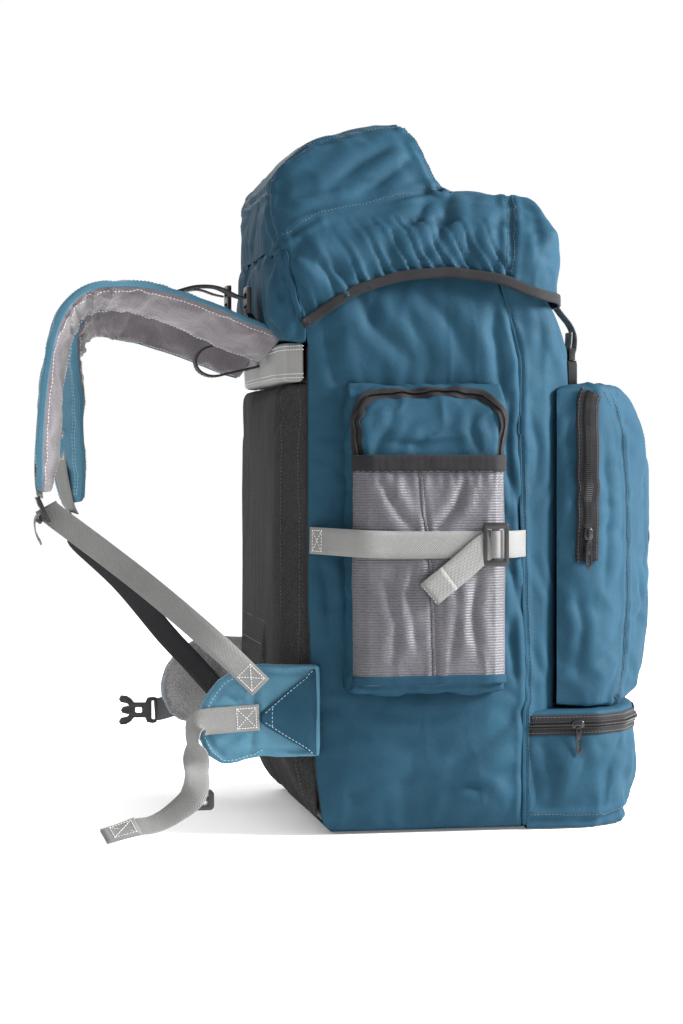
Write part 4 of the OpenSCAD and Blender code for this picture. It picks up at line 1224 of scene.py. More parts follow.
for line, depth, width in [
    ([(62, -157, 84), (76, -157, 50), (72, -157, 20)], 2.6, 7),
                           ([(150, -136, 84), (134, -150, 56), (126, -154, 24)], 3.0, 8),
    ([(174, -96, 84), (168, -106, 52), (160, -116, 26)], 2.8, 8),
                           ([(184, -50, 82), (178, -40, 50), (170, -56, 24)], 2.8, 9),
    ([(98, -156, 86), (104, -157, 60), (96, -157, 40)], 2.2, 7),
                           ([(186, 14, 82), (180, 4, 48), (172, 20, 26)], 2.6, 9),
]:
    fold(bottom, line, depth, width)
    fold(bottom, other_side([(x, y, z - 3) for x, y, z in line]), depth * 0.9, width)
groove(bottom, BOTTOM_SEAM, 2.4, 3.2, 0.6)
p0 = coords(bottom)
p0[:, 2] = np.maximum(p0[:, 2], 0.4)
set_coords(bottom, p0)
dress(bottom, "pack", TEAL, ["bottom_compartment"])
sew("bottom_stitch", bottom, [[(x, y, z + 6) for x, y, z in BOTTOM_SEAM]], "pack", "teal_fabric", THREAD_DARK)
bottom_tree = surface(bottom)
pts, out = on_surface(bottom_tree, smooth_line([(x, y, 97.5) for x, y in BAND_PLAN], 5), 5.0, 0.9)
out = unit(out * [1, 1, 0.1])
zip_pair("bottom_zip_line", pts, out, "pack", width=19, coil=4.6)
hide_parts("bottom_zip")
near = pts[np.argmin(np.abs(pts[:, 0] - 99) + (pts[:, 1] > 0) * 999)]
zip_slider("bottom_zip_slider", (99, near[1] - 2.0, 98), (-1, 0, 0), (0, -1, 0), "bottom_slider", "bottom_slider")
zip_pull("bottom_zip_pull", (99, near[1] - 4.2, 96), (0.03, -0.05, -1), (0, -1, 0), "bottom_pull", "bottom_pull")
print("front", len(front_pocket.data.polygons), len(bottom.data.polygons))

# %% [markdown]
# ## Side pockets: a zipped teal pocket, a ribbed stretch-mesh pocket over it, and the compression strap
# Everything is made on the wearer's left, then mirrored to the right.

# %%
def twin(obj, name, body, material, replaced=()):
    """The mirror image of a finished piece, on the other side."""
    copy = mirrored(obj, name)
    copy.parent = None
    for key in [k for k in copy.keys() if k.startswith("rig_")]:
        del copy[key]
    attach(copy, body)
    if replaced:
        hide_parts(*replaced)
    return copy


side_pocket = form("side_pocket_cloth_left", end=[(-y, z) for y, z in SIDE_END],
                   plan=[(x, -y) for x, y in SIDE_PLAN],
                   voxel=4.0, rounds=4)
keep_faces(side_pocket, lambda c, d: ~((c[:, 1] > -164) & (d[:, 1] > 0.5)))
FACE_EDGE = [(-117, -196, 146), (-117, -196, 300), (-117, -194, 372), (-112, -188, 398), (-100, -183, 406),
             (-50, -183, 407), (-4, -183, 406), (8, -188, 398), (14, -194, 372), (14, -196, 300), (14, -196, 146)]
FACE_FOOT = [(-117, -196, 142), (-50, -198, 139), (14, -196, 142)]
pinned = rim(side_pocket)
pinned |= line_distance(coords(side_pocket), FACE_FOOT)[0] < 3.5
fill(side_pocket, pinned, pressure=3.5, grow=0.03, cap=4.0, bend=0.8)
finer(side_pocket)
p0 = coords(side_pocket)
face = np.clip((-p0[:, 1] - 180) / 14, 0, 1)
upper = np.clip((p0[:, 2] - 345) / 20, 0, 1)
push(side_pocket, 0.6 * noise(p0, (24, 24, 30), 81) + face * upper * (1.4 * noise(p0, (30, 30, 18), 82)
     + 2.0 * (ridges(p0, (34, 34, 22), 83) - 0.3)) + (1 - face) * (1.3 * noise(p0, (30, 30, 16), 84)))
for line, depth, width in [
    ([(-108, -200, 352), (-90, -202, 380), (-84, -196, 398)], 2.4, 6),
                           ([(-4, -200, 352), (-14, -202, 378), (-10, -196, 398)], 2.4, 6),
    ([(-70, -201, 356), (-56, -202, 372), (-30, -200, 380)], 2.0, 6),
                           ([(-100, -200, 366), (-60, -202, 362), (-20, -201, 368)], 2.0, 6),
]:
    fold(side_pocket, line, depth, width)
for line in (FACE_EDGE, FACE_FOOT):
    groove(side_pocket, line, 1.6, 3.0, 0.4)
dress(side_pocket, "pack", TEAL, ["side_pocket_left"])
side_tree = surface(side_pocket)
arch = [(-120, -195, 286), (-120, -195, 330), (-119, -193, 374), (-115, -188, 397), (-103, -184, 407),
        (-60, -182, 410),
        (-10, -182, 409), (4, -184, 405), (15, -190, 388), (18, -195, 352), (18, -195, 320), (18, -195, 286)]
pts, out = on_surface(side_tree, smooth_line(arch, 4), 4.0, 0.9)
arch_tape, arch_mid = ribbon("side_zip_tape_left", pts, out, 12.5, 1.5, step=3.5)
dress(arch_tape, "pack", TAPE, ["side_zips"])
arch_teeth = row("side_zip_teeth_left", [resample(arch_mid["line"] + arch_mid["up"] * 1.0, 2.0)], "pack",
                 "zip_tape", COIL,
                 tree=TOOTH_TREE, pitch=1.9, length=1.15, width=4.2, height=1.5)
foot_stitch = sew("side_pocket_stitch_left", side_pocket, [[(x, y, z + 1) for x, y, z in FACE_FOOT]], "pack",
                  "teal_fabric",
                  THREAD_DARK, gaps=(0.0,))

MESH_LINE = np.array([(-123.5, -192), (-121, -199), (-112, -206.5), (-100, -207.6), (-50, -208), (-2, -207.6),
                      (8, -206.5),
                      (17, -199), (19.5, -192)], float)
mesh_s = np.concatenate([[0], np.cumsum(np.linalg.norm(np.diff(MESH_LINE, axis=0), axis=1))])
mesh_s /= mesh_s[-1]


def mesh_place(u, v):
    z = 143 + 203 * v
    x, y = np.interp(u, mesh_s, MESH_LINE[:, 0]), np.interp(u, mesh_s, MESH_LINE[:, 1])
    drawn = np.clip((v - 0.55) / 0.45, 0, 1)
    pucker = 1.3 * np.sin(2 * np.pi * u * 15 + 2.0 * np.sin(9 * u)) * np.clip((v - 0.86) / 0.14, 0, 1) ** 1.5
    belly = -2.6 * np.sin(np.pi * u) * np.sin(np.pi * np.clip(v, 0, 1)) ** 0.8
    tuck = 4.5 * np.clip(1 - v / 0.035, 0, 1) ** 2
    return x, y + belly + pucker + tuck + 1.5 * drawn * np.sin(np.pi * u), z


mesh_pocket = grid("mesh_pocket_cloth_left", mesh_place, 96, 120)
p0 = coords(mesh_pocket)
strap_gap = np.clip(np.abs(p0[:, 2] - 271) / 16, 0, 1)
push(mesh_pocket, strap_gap * (0.9 * noise(p0, (26, 26, 44), 91) + 1.0 * (ridges(p0, (20, 20, 60), 92) - 0.3)))
for line, depth, width in [
    ([(-104, -208, 335), (-84, -208, 300), (-70, -208, 284)], 2.2, 6),
                           ([(-20, -208, 335), (-30, -208, 306), (-50, -208, 284)], 2.2, 6),
    ([(-100, -208, 240), (-84, -208, 200), (-90, -208, 160)], 2.0, 6),
                           ([(-8, -208, 250), (-16, -208, 210), (-8, -208, 160)], 2.0, 6),
    ([(-70, -208, 258), (-76, -208, 220), (-66, -208, 170)], 1.8, 5),
                           ([(-34, -208, 258), (-28, -208, 214), (-36, -208, 160)], 1.8, 5),
]:
    fold(mesh_pocket, line, depth, width)
MESH_SEAM = [(-64, -209, 340), (-60, -210, 300), (-56, -210, 271), (-53, -210, 220), (-50, -209, 146)]
groove(mesh_pocket, MESH_SEAM, 1.0, 2.6, 0.5)
mesh_tree = surface(mesh_pocket)
thick(mesh_pocket, 0.9)
dress(mesh_pocket, "pack", MESH, ["mesh_pocket_left"])
pts, out = on_surface(mesh_tree, smooth_line(MESH_SEAM, 4), 4.0, 0.4)
seam_tape, mid = ribbon("mesh_seam_left", pts, out, 2.6, 1.0)
dress(seam_tape, "pack", MESH)
foot = [(x, y - 1.4, 146.5) for x, y in MESH_LINE]
pts, out = on_surface(mesh_tree, smooth_line(foot, 4), 4.0, 0.6)
foot_tape, mid = ribbon("mesh_binding_left", pts, unit(out * [1, 1, 0.1]), 8.0, 2.0)
dress(foot_tape, "pack", TEAL_DEEP)
top = np.array([(x, y - 0.9, 345.5) for i, (x, y) in enumerate(MESH_LINE)])
elastic_out = unit(np.array([(x + 52, (y + 150) * 3, 0) for x, y in MESH_LINE]))
elastic_band, _ = ribbon("pocket_elastic_left", top, elastic_out, 15.0, 3.2, step=3.0)
p0 = coords(elastic_band)
push(elastic_band, 0.5 * np.sin(2 * np.pi * p0[:, 0] / 5.2) + 0.4 * noise(p0, 9, 95))
dress(elastic_band, "pack", ELASTIC, ["pocket_elastics"])

STRAP_LINE = [(-158, -161.5, 274), (-132, -198, 273), (-114, -210.4, 272), (-80, -211.2, 271), (-30, -211.2, 271),
              (4, -211.0, 271), (14, -209.5, 271), (27, -198, 270.5), (47, -161.5, 270)]
face = [(-0.8, -0.6, 0), (-0.7, -0.7, 0), (-0.2, -1, 0), (0, -1, 0), (0, -1, 0), (0, -1, 0), (0.3, -1, 0),
        (0.7, -0.7, 0),
        (0.8, -0.6, 0)]
strap_left, strap_mid = ribbon("compression_strap_cloth_left", STRAP_LINE, face, 25, 1.6, ripple=0.35, seed=5)
dress(strap_left, "pack", WEB, ["compression_straps"])
TAIL = [(3, -213.4, 272), (-8, -214.2, 266), (-22, -215.0, 254), (-38, -215.6, 241), (-50, -215.4, 232),
        (-57, -215.0, 226)]
tail_left, tail_mid = ribbon("compression_tail_cloth_left", TAIL, [(0, -1, 0)] * 6, 25, 1.5, ripple=0.6, seed=6)
dress(tail_left, "pack", WEB, ["compression_tails"])
hem_left, _ = ribbon("compression_tail_hem_left", [(p[0], p[1] - 1.4, p[2]) for p in TAIL[-3:]], [(0, -1, 0)] * 3,
                     25, 1.3)
dress(hem_left, "pack", WEB)
triglide = plate("triglide_left", rounded(24, 40, 4), 3.4, placed((6, -213.6, 271), (1, 0, 0), (0, 0, 1)),
                 [slot_hole(-5.6, 0, 5.2, 29), slot_hole(5.6, 0, 5.2, 29)], bevel=1.0)
dress(triglide, "pack", PLASTIC, ["triglide_buckles"])
over_bar, _ = ribbon("compression_turn_left", [(11, -210.8, 271), (9.5, -214.2, 271), (6, -216.2, 271),
                                               (2.5, -214.6, 271),
                                               (1, -211.4, 271)],
                     [(1, -0.3, 0), (0.8, -0.7, 0), (0, -1, 0), (-0.8, -0.7, 0), (-1, -0.3, 0)],
                     25, 1.3, step=1.5)
dress(over_bar, "pack", WEB)
strap_rows = row("compression_stitch_left", box_rows(tail_mid, -5,
                                                     -1) + [resample(l, 2) for l in box_rows(strap_mid, 1, 4)],
                 "pack", "grey_webbing", THREAD_GREY, pitch=3.0, length=2.0, width=0.7, height=0.7)
for source, slot_name, material, replaced, stuffing in [
    (side_pocket, "teal_fabric", TEAL, ["side_pocket_right"], 0.6),
                                                        (arch_tape, "zip_tape", TAPE, ["side_zips"], None),
    (arch_teeth, "zip_tape", COIL, [], None), (foot_stitch, "teal_fabric", THREAD_DARK, [], None),
    (mesh_pocket, "mesh", MESH, ["mesh_pocket_right"], None), (seam_tape, "mesh", MESH, [], None),
    (foot_tape, "teal_fabric", TEAL_DEEP, [], None), (elastic_band, "elastic", ELASTIC, ["pocket_elastics"], None),
    (strap_left, "grey_webbing", WEB, ["compression_straps"], None), (hem_left, "grey_webbing", WEB, [], None),
    (tail_left, "grey_webbing", WEB, ["compression_tails"], None), (over_bar, "grey_webbing", WEB, [], None),
    (triglide, "black_plastic", PLASTIC, ["triglide_buckles"], None),
                                                        (strap_rows, "grey_webbing", THREAD_GREY, [], None),
]:
    twin(source, source.name.replace("_left", "_right"), "pack", material, replaced)
print("side pockets", len(side_pocket.data.polygons), len(mesh_pocket.data.polygons))

# %% [markdown]
# ## Shoulder straps: padded sweeps with teal tops, ribbed linings and webbing sewn on
# Each pad is filled as cloth, bends from the yoke to its own body, and carries its ladder lock.

# %%
def padded_sweep(name, route, face, width, thickness, tip=0.62):
    """A pad with a lens-shaped section, narrower at its tip; returns the mesh and its frame."""
    route, face = np.asarray(route, float), np.asarray(face, float)
    line = smooth_line(route, 5.0)
    knots = np.concatenate([[0], np.cumsum(np.linalg.norm(np.diff(route, axis=0), axis=1))])
    s = np.linspace(0, 1, len(line))
    look = np.stack([np.interp(s, knots / knots[-1], face[:, k]) for k in range(3)], axis=1)
    ahead = unit(np.gradient(line, axis=0))
    side = unit(np.cross(ahead, look))
    up = unit(np.cross(side, ahead))
    k = 40
    angle = 2 * np.pi * np.arange(k) / k
    a = np.sign(np.cos(angle)) * np.abs(np.cos(angle)) ** 0.62
    b = np.sign(np.sin(angle)) * np.abs(np.sin(angle)) ** 0.72
    w = width / 2 * (1 - (1 - tip) * np.clip((s - 0.86) / 0.14, 0, 1) ** 1.5)
    t = thickness / 2 * (1 - 0.45 * np.clip((s - 0.93) / 0.07, 0, 1)) * (1 - 0.35 * np.clip((0.05 - s) / 0.05, 0,
                                                            1))
    verts = (line[:, None] + side[:, None] * (w[:, None] * a)[..., None] + up[:, None] * (t[:, None] * b)[...,
                                                            None])
    m = len(line)
    faces = [(i * k + j, i * k + (j + 1) % k, (i + 1) * k + (j + 1) % k, (i + 1) * k + j)
             for i in range(m - 1) for j in range(k)]
    faces += [tuple(range(k))[::-1], tuple((m - 1) * k + j for j in range(k))]
    obj = faces_out(make(name, verts.reshape(-1, 3), faces))
    length = np.concatenate([[0], np.cumsum(np.linalg.norm(np.diff(line, axis=0), axis=1))])
    layer = obj.data.uv_layers.new(name="grain")
    vertex = np.empty(len(obj.data.loops), int)
    obj.data.loops.foreach_get("vertex_index", vertex)
    uv = np.stack([(a * width / 2)[vertex % k], length[vertex // k]], axis=1) * 0.001
    layer.data.foreach_set("uv", uv.astype(np.float32).ravel())
    return obj, {"line": line, "side": side, "up": up, "w": w, "t": t, "s": s}


def two_faced(obj, mid, under, split=-0.25):
    """Gives the underside of a swept pad its lining."""
    n = len(obj.data.polygons)
    c = np.empty(n * 3)
    obj.data.polygons.foreach_get("center", c)
    c = c.reshape(-1, 3) * 1000
    line, up, t = mid["line"], mid["up"], mid["t"]
    nearest = np.array([np.argmin(((line - p) ** 2).sum(1)) for p in c])
    height = ((c - line[nearest]) * up[nearest]).sum(1) / t[nearest]
    obj.data.materials.append(under)
    obj.data.polygons.foreach_set("material_index", (height < split).astype(np.int32))


def shoulder(side_name, route, face, web_route, web_face, web_material, seed):
    body = "shoulder_" + side_name
    pad, mid = padded_sweep("shoulder_pad_cloth_" + side_name, route, face, 64, 14)
    line, side, up = mid["line"], mid["side"], mid["up"]
    p0 = coords(pad)
    near = np.array([np.argmin(((line - p) ** 2).sum(1)) for p in p0])
    across = np.abs(((p0 - line[near]) * side[near]).sum(1)) / mid["w"][near]
    held = (across > 0.93) | (mid["s"][near] < 0.02) | (mid["s"][near] > 0.98)
    fill(pad, held, pressure=4.0, grow=0.03, cap=3.0, bend=0.8)
    finer(pad)
    p0 = coords(pad)
    near = np.array([np.argmin(((line - p) ** 2).sum(1)) for p in p0])
    turn = np.linalg.norm(np.gradient(unit(np.gradient(line, axis=0)), axis=0), axis=1) / 5.0
    bent = np.clip(np.convolve(turn, np.ones(9) / 9, "same") * 60, 0, 1)[near]
    below = np.clip(-((p0 - line[near]) * up[near]).sum(1) / 5, 0, 1)
    along = np.arange(len(line))[near] * 5.0
    a = ((p0 - line[near]) * side[near]).sum(1)
    crumple = np.sin(2 * np.pi * (along + 4 * noise(p0, 24, seed)) / 15.0)
    push(pad, bent * below * 1.8 * crumple + 0.7 * noise(p0, (20, 20, 20), seed + 1)
         + (0.6 + bent) * (ridges(p0, (24, 24, 24), seed + 2) - 0.3) * 0.9)
    inset = np.abs(np.abs(a) - 24)
    push(pad, -0.8 * np.exp(-(inset / 2.5) ** 2) * (1 - below))
    # The pad, and its bindings below, take the teal painted brighter to stand for light from above.
    dress(pad, body, TEAL_PAINTED_TOPLIT, ["shoulder_pad_" + side_name])
    two_faced(pad, mid, LINING)
    pad.parent = None
    rows = []
    for s in (-1, 1):
        for gap, level in ((mid["w"] - 4.5, 0.80), (mid["w"] - 8.5, 0.9)):
            rows.append(line[2:-2] + (side * (s * gap)[:, None] + up * (mid["t"] * level)[:, None])[2:-2])
    tree = surface(pad)
    rows = [on_surface(tree, r, 3.0, 0.3)[0] for r in rows]
    under = [on_surface(tree, line[2:-2] + (side * (s * (mid["w"] - 3.5))[:, None] - up * (mid["t"] * 0.7)[:,
                                                            None])[2:-2],
                        3.0, 0.3)[0] for s in (-1, 1)]
    top_stitch = row("shoulder_stitch_" + side_name, rows, body, "light_teal_fabric", THREAD)
    under_stitch = row("shoulder_lining_stitch_" + side_name, under, body, "light_teal_fabric", THREAD_GREY)
    edges = []
    for s, tag in ((-1, "a"), (1, "b")):
        edge = on_surface(tree, line[1:-1] + (side * (s * mid["w"])[:, None])[1:-1], 4.0, 0.4)
        cord, _ = ribbon("shoulder_binding_" + side_name + "_" + tag, edge[0], edge[1], 5.0, 1.5, step=4.0)
        edges.append(dress(cord, body, TEAL_PAINTED_TOPLIT))
    for piece in [pad, top_stitch, under_stitch, *edges]:
        piece.parent = None
        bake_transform(piece)
    last = len(line) - 1
    first = int(last * 0.80)
    strip = np.array([line[i] + up[i] * (mid["t"][i] + 1.6) for i in range(first, last + 1, 3)])
    lock = np.array([-401.0, -95.0, 302.0]) if side_name == "left" else np.array([-360.0, 89.0, 283.0])
    tilt = math.radians(-24 if side_name == "left" else -30)
    strip = np.vstack([strip, lock + [-2.4, 0, 12]])
    look = np.vstack([up[first:last + 1:3], up[last][None]])
    sewn, sewn_mid = ribbon("shoulder_webbing_" + side_name, strip, look, 25, 1.5, step=3.0)
    dress(sewn, body, WEB)
    row("shoulder_bartack_" + side_name, box_rows(sewn_mid, 2, 10), body, "grey_webbing", THREAD_GREY, pitch=2.6,
        length=1.9)
    buckle = plate("ladder_lock_" + side_name, [(-17, -11), (-14, -13), (14, -13), (17, -11), (17, 9), (14, 13),
                                                (-14, 13),
                                                (-17, 9)], 4.0,
                   placed(lock, (0, 1, 0), (math.sin(tilt), 0, math.cos(tilt))),
                   [slot_hole(0, 6.2, 27, 5.0), slot_hole(0, -4.6, 27, 5.6)], bevel=1.1)
    dress(buckle, body, PLASTIC, ["ladder_lock_" + side_name])
    lip = plate("ladder_lip_" + side_name, rounded(30, 5, 2), 4.6,
                placed(lock + np.array([-3.2, 0, -10.5]), (0, 1, 0),
                       (math.sin(tilt - 0.5), 0, math.cos(tilt - 0.5))), bevel=1.2)
    dress(lip, body, PLASTIC)
    web, web_mid = ribbon("strap_webbing_cloth_" + side_name, web_route, web_face, 22, 1.6, ripple=0.5,
                          seed=seed + 3)
    dress(web, body, web_material,
          ["strap_webbing_" + side_name])
    # On the right strap the black thread is painted shade, matching its webbing.
    row("strap_webbing_stitch_" + side_name, box_rows(web_mid, -7, -2, face=-1) + box_rows(web_mid, -7, -2), body,
        "grey_webbing", THREAD_GREY if side_name == "left" else THREAD_BLACK, pitch=2.6, length=1.9)
    return pad, mid


shoulder("left", LEFT_PAD, LEFT_FACE, LEFT_WEB, [(-0.2, -1, 0.1)] * len(LEFT_WEB), WEB,
         101)
# The right strap's lower webbing gets the near-black webbing as painted shade, since it hangs in shadow on the far
# side.
shoulder("right", RIGHT_PAD, RIGHT_FACE, RIGHT_WEB, [(-0.1, -1, -0.1)] * len(RIGHT_WEB), WEB_BLACK_AND_SHADE,
         111)

LEFT_TAIL = [(-403, -93, 300), (-408, -92, 292), (-407, -91, 280), (-402, -90, 270)]
RIGHT_TAIL = [(-360, 90, 282), (-350, 89, 268), (-336, 88, 256), (-322, 87, 248)]
for name, route, body, material in (("left", LEFT_TAIL, "shoulder_left", WEB),
                                    ("right", RIGHT_TAIL, "shoulder_right", WEB)):
    loose, mid = ribbon("adjuster_tail_" + name, route, [(-1, 0, 0.2)] * 4 if name == "left" else [(-0.4, 0.2,
                                                            0.9)] * 4, 22, 1.3,
                        step=3.0)
    dress(loose, body, material)
    row("adjuster_tail_stitch_" + name, box_rows(mid, -3, -1), body, "grey_webbing", THREAD_GREY, pitch=2.6,
        length=1.8)

# %% [markdown]
# Load lifters, their locks and tabs, and the haul loop.

# %%
LIFTERS = {"left": [(-284, -83, 506), (-276, -82, 507.5), (-256, -81, 513), (-236, -79, 513), (-219, -77, 506),
                    (-209, -76, 503)],
           "right": [(-284, 80, 506), (-276, 80, 511), (-256, 79, 519), (-236, 78, 522), (-219, 77, 517),
                     (-209, 76, 515)]}
for name, route in LIFTERS.items():
    s = -1 if name == "left" else 1
    rise = 0 if name == "left" else 12
    lifter, mid = ribbon("load_lifter_" + name, route, [(0, 0.1, 1)] * 3 + [(-0.2, 0, 1)] * 3, 20, 1.4, ripple=0.3,
                         seed=7)
    dress(lifter, "shoulder_" + name, WEB_BLACK_AND_SHADE)
    row("load_lifter_stitch_" + name, box_rows(mid, 0, 3), "shoulder_" + name, "black_webbing", THREAD_GREY,
        pitch=2.6, length=1.8)
    lock = plate("lifter_lock_" + name, rounded(28, 28, 3.5), 4.0,
                 placed((-205, s * 75, 500 + rise), (0, 1, 0), (0, 0, 1)),
                 [slot_hole(0, 5.6, 22, 5.4), slot_hole(0, -6.4, 22, 5.4)], bevel=1.0)
    dress(lock, "pack", PLASTIC, ["load_lifter_locks"])
    tab, mid = ribbon("lifter_tab_" + name, [(-187, s * 75, 470 + rise), (-196, s * 75, 480 + rise),
                                             (-203, s * 75, 489 + rise),
                                             (-207.5, s * 75, 492.5 + rise), (-204, s * 75, 485 + rise),
                                             (-190, s * 75, 466 + rise)],
                      [(-0.8, 0, -0.4), (-0.8, 0, 0.5), (-0.8, 0, 0.5), (-1, 0, 0), (-0.8, 0, -0.5),
                       (-0.8, 0, -0.5)], 20, 1.3, step=2.0)
    dress(tab, "pack", WEB_BLACK_AND_SHADE)

HAUL = [(-184, 0, 452), (-206, 0, 458), (-226, 0, 461), (-240, 0, 457), (-247, 0, 447), (-243, 0, 436),
        (-230, 0, 431),
        (-210, 0, 435), (-184, 0, 441)]
haul_face = [(0, 0, 1), (0, 0, 1), (0, 0, 1), (-0.7, 0, 0.7), (-1, 0, 0), (-0.7, 0, -0.7), (0, 0, -1), (0, 0, -1),
             (0, 0, -1)]
haul, haul_mid = ribbon("haul_loop_cloth", HAUL, haul_face, 20, 2.0, step=3.0)
dress(haul, "haul_loop", WEB_BLACK_AND_SHADE, ["haul_loop"])
row("haul_stitch", edge_rows(haul_mid, 2.2), "haul_loop", "black_webbing", THREAD_BLACK)

# %% [markdown]
# ## Hip belt: one padded piece a side, from the root on the bag out to the wing tip
# The teal face looks out and the spacer mesh looks in; the piece bends about the wing's hinge.

# %%
HIP_OUTLINE = [(-150, 159), (-204, 161), (-228, 158), (-246, 147), (-260, 128), (-265, 112), (-264, 96), (-256, 79),
               (-240, 69), (-205, 76), (-150, 74)]
hip = form("hip_cushion_left", side=HIP_OUTLINE, plan=[(-300, -173), (-140, -173), (-140, -160.5), (-300, -160.5)],
           voxel=3.6,
           rounds=4)
p0 = coords(hip)
hip_edge = line_distance(p0 * [1, 0, 1], [(x, 0, z) for x, z in HIP_OUTLINE + HIP_OUTLINE[:1]])[0]
held = (hip_edge < 2.5) | (p0[:, 0] > -158)
fill(hip, held, pressure=4.0, grow=0.02, cap=1.2, bend=1.5)
finer(hip)
p0 = coords(hip)
hip_edge = line_distance(p0 * [1, 0, 1], [(x, 0, z) for x, z in HIP_OUTLINE + HIP_OUTLINE[:1]])[0]
push(hip, 0.3 * noise(p0, (26, 26, 20), 121) + 0.5 * (ridges(p0, (26, 26, 22),
                                                            122) - 0.3) - 1.6 * np.exp(-((hip_edge - 7) / 2.6) ** 2))
for line, depth, width in [([(-214, -174, 156), (-212, -176, 120), (-216, -174, 78)], 2.2, 5),
                           ([(-240, -174, 140), (-222, -176, 128), (-212, -175, 130)], 2.0, 6),
                           ([(-246, -174, 90), (-226, -176, 96), (-212, -175, 88)], 2.0, 6)]:
    fold(hip, line, depth, width)
turned = coords(hip)
swing = np.radians(8.0) * np.clip((-204.5 - turned[:, 0]) / 14, 0, 1)
rel = turned - HIP_HINGE
turned[:, 0] = HIP_HINGE[0] + rel[:, 0] * np.cos(swing) - rel[:, 1] * np.sin(swing)
turned[:, 1] = HIP_HINGE[1] + rel[:, 0] * np.sin(swing) + rel[:, 1] * np.cos(swing)
set_coords(hip, turned)


def wing_point(x, y, z):
    """A point given on the unflared wing, turned out with it."""
    a = math.radians(8.0) * min(max((-204.5 - x) / 14, 0), 1)
    dx, dy = x - HIP_HINGE[0], y - HIP_HINGE[1]
    return (HIP_HINGE[0] + dx * math.cos(a) - dy * math.sin(a), HIP_HINGE[1] + dx * math.sin(a) + dy * math.cos(a),
            z)


grain(hip)
n = np.empty(len(hip.data.polygons) * 3)
hip.data.polygons.foreach_get("normal", n)
inside = n.reshape(-1, 3)[:, 1] > 0.45
tree = surface(hip)
loop = []
for i, (x, z) in enumerate(HIP_OUTLINE):
    towards = np.array([-205.0, 116.0]) - (x, z)
    q = np.array([x, z]) + towards / np.linalg.norm(towards) * 6.5
    loop.append(wing_point(max(q[0], -258.5), -177, q[1]))
outer_loop = on_surface(tree, smooth_line(loop[1:-1], 3.0), 3.0, 0.3)[0]
hip_rows = row("hip_stitch_left", [outer_loop], "hip_left", "light_teal_fabric", THREAD)
hip_right = mirrored(hip, "hip_cushion_right")
hip_rows_right = mirrored(hip_rows, "hip_stitch_right")
for piece, name, slot_name, stuffing in ((hip, "left", "light_teal_fabric", 0.7),
                                         (hip_right, "right", "light_teal_fabric", 0.7),
                                         (hip_rows, "left", "light_teal_fabric", None),
                                         (hip_rows_right, "right", "light_teal_fabric", None)):
    piece.parent = None
    s = -1 if name == "left" else 1
    if stuffing:
        # The hip face takes the teal painted brighter to stand for light from above.
        dress(piece, "hip_" + name, TEAL_PAINTED_TOPLIT, ["hip_roots", "hip_wing_" + name])
        piece.data.materials.append(SPACER)
        piece.data.polygons.foreach_set("material_index", inside.astype(np.int32))
        piece.parent = None
    for key in [k for k in piece.keys() if k == "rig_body"]:
        del piece[key]
    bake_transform(piece)


def patch_place(u, v):
    """The reinforcement triangle over the root, from the seam to its blunt tip."""
    x = -151 - 55 * u
    top = np.interp(u, [0, 0.9, 1], [160, 121, 116])
    low = np.interp(u, [0, 0.9, 1], [74, 104, 109])
    z = low + (top - low) * v
    return x, -176.5 - 2.4 * np.sin(np.pi * v) * (0.4 + u) + 12 * np.clip((x + 162) / 14, 0, 1) ** 1.4, z


patch = grid("hip_patch_left", patch_place, 34, 40)
p0 = coords(patch)
push(patch, 0.5 * noise(p0, 14, 131))
faces_out(thick(patch, 1.6, offset=0.0))
dress(patch, "pack", TEAL)
patch_rows = sew("hip_patch_stitch_left", patch, [[(-156, -182, 155), (-202, -182, 119)],
                                                  [(-156, -182, 79), (-202, -182, 106)],
                                                  [(-196, -182, 121), (-196, -182, 104)]], "pack", "teal_fabric",
                 THREAD)
twin(patch, "hip_patch_right", "pack", TEAL)
twin(patch_rows, "hip_patch_stitch_right", "pack", THREAD)

# %% [markdown]
# ## Waist webbing and its buckle halves

# %%
WAIST = [(-208, -178.5, 113), (-232, -182, 112), (-262, -186.5, 110), (-269, -190, 104), (-270.5, -193, 92),
         (-268, -194, 80),
         (-267, -195, 66), (-268, -195, 52), (-273, -196, 42), (-284, -197, 33), (-297, -199, 25), (-309, -202, 21),
         (-321, -204, 20), (-336, -206, 16), (-352, -208, 12)]
WAIST_FACE = [(-0.14, -0.99, 0), (-0.14, -0.99, 0), (-0.2, -0.97, 0.1), (-0.8, -0.5, 0.3), (-0.95, -0.3, 0),
              (-0.3, -0.95, 0),
              (0.4, -0.9, 0), (0.1, -1, 0.1), (-0.4, -0.85, 0.3), (-0.45, -0.7, 0.5), (-0.45, -0.6, 0.65),
              (-0.2, -0.5, 0.85),
              (0.1, -0.45, 0.9), (-0.3, -0.4, 0.9), (-0.2, -0.35, 0.9)]
waist, waist_mid = ribbon("waist_webbing_cloth_left", WAIST, WAIST_FACE, 24, 1.6, ripple=0.5, seed=8, step=3.0)
dress(waist, "hip_left", WEB, ["waist_webbing_left"])
waist_hem, hem_mid = ribbon("waist_webbing_hem_left", [(p[0], p[1] - 0.6, p[2] + 1.5) for p in WAIST[-3:]],
                            WAIST_FACE[-3:], 24, 1.5)
dress(waist_hem, "hip_left", WEB)
row("waist_stitch_left", box_rows(waist_mid, 1, 7) + box_rows(hem_mid, 1, 6), "hip_left", "grey_webbing",
    THREAD_GREY, pitch=2.6,
    length=1.9)
RIGHT_WAIST = [(-208, 178, 106), (-226, 181.5, 98), (-246, 184.5, 88), (-262, 184, 83), (-270, 181.5, 82)]
right_waist, mid = ribbon("waist_webbing_cloth_right", RIGHT_WAIST, [(-0.14, 0.99, 0)] * 5, 24, 1.6, seed=9,
                          step=3.0)
dress(right_waist, "hip_right", WEB)
row("waist_stitch_right", box_rows(mid, 1, 7), "hip_right", "grey_webbing", THREAD_GREY, pitch=2.6, length=1.9)

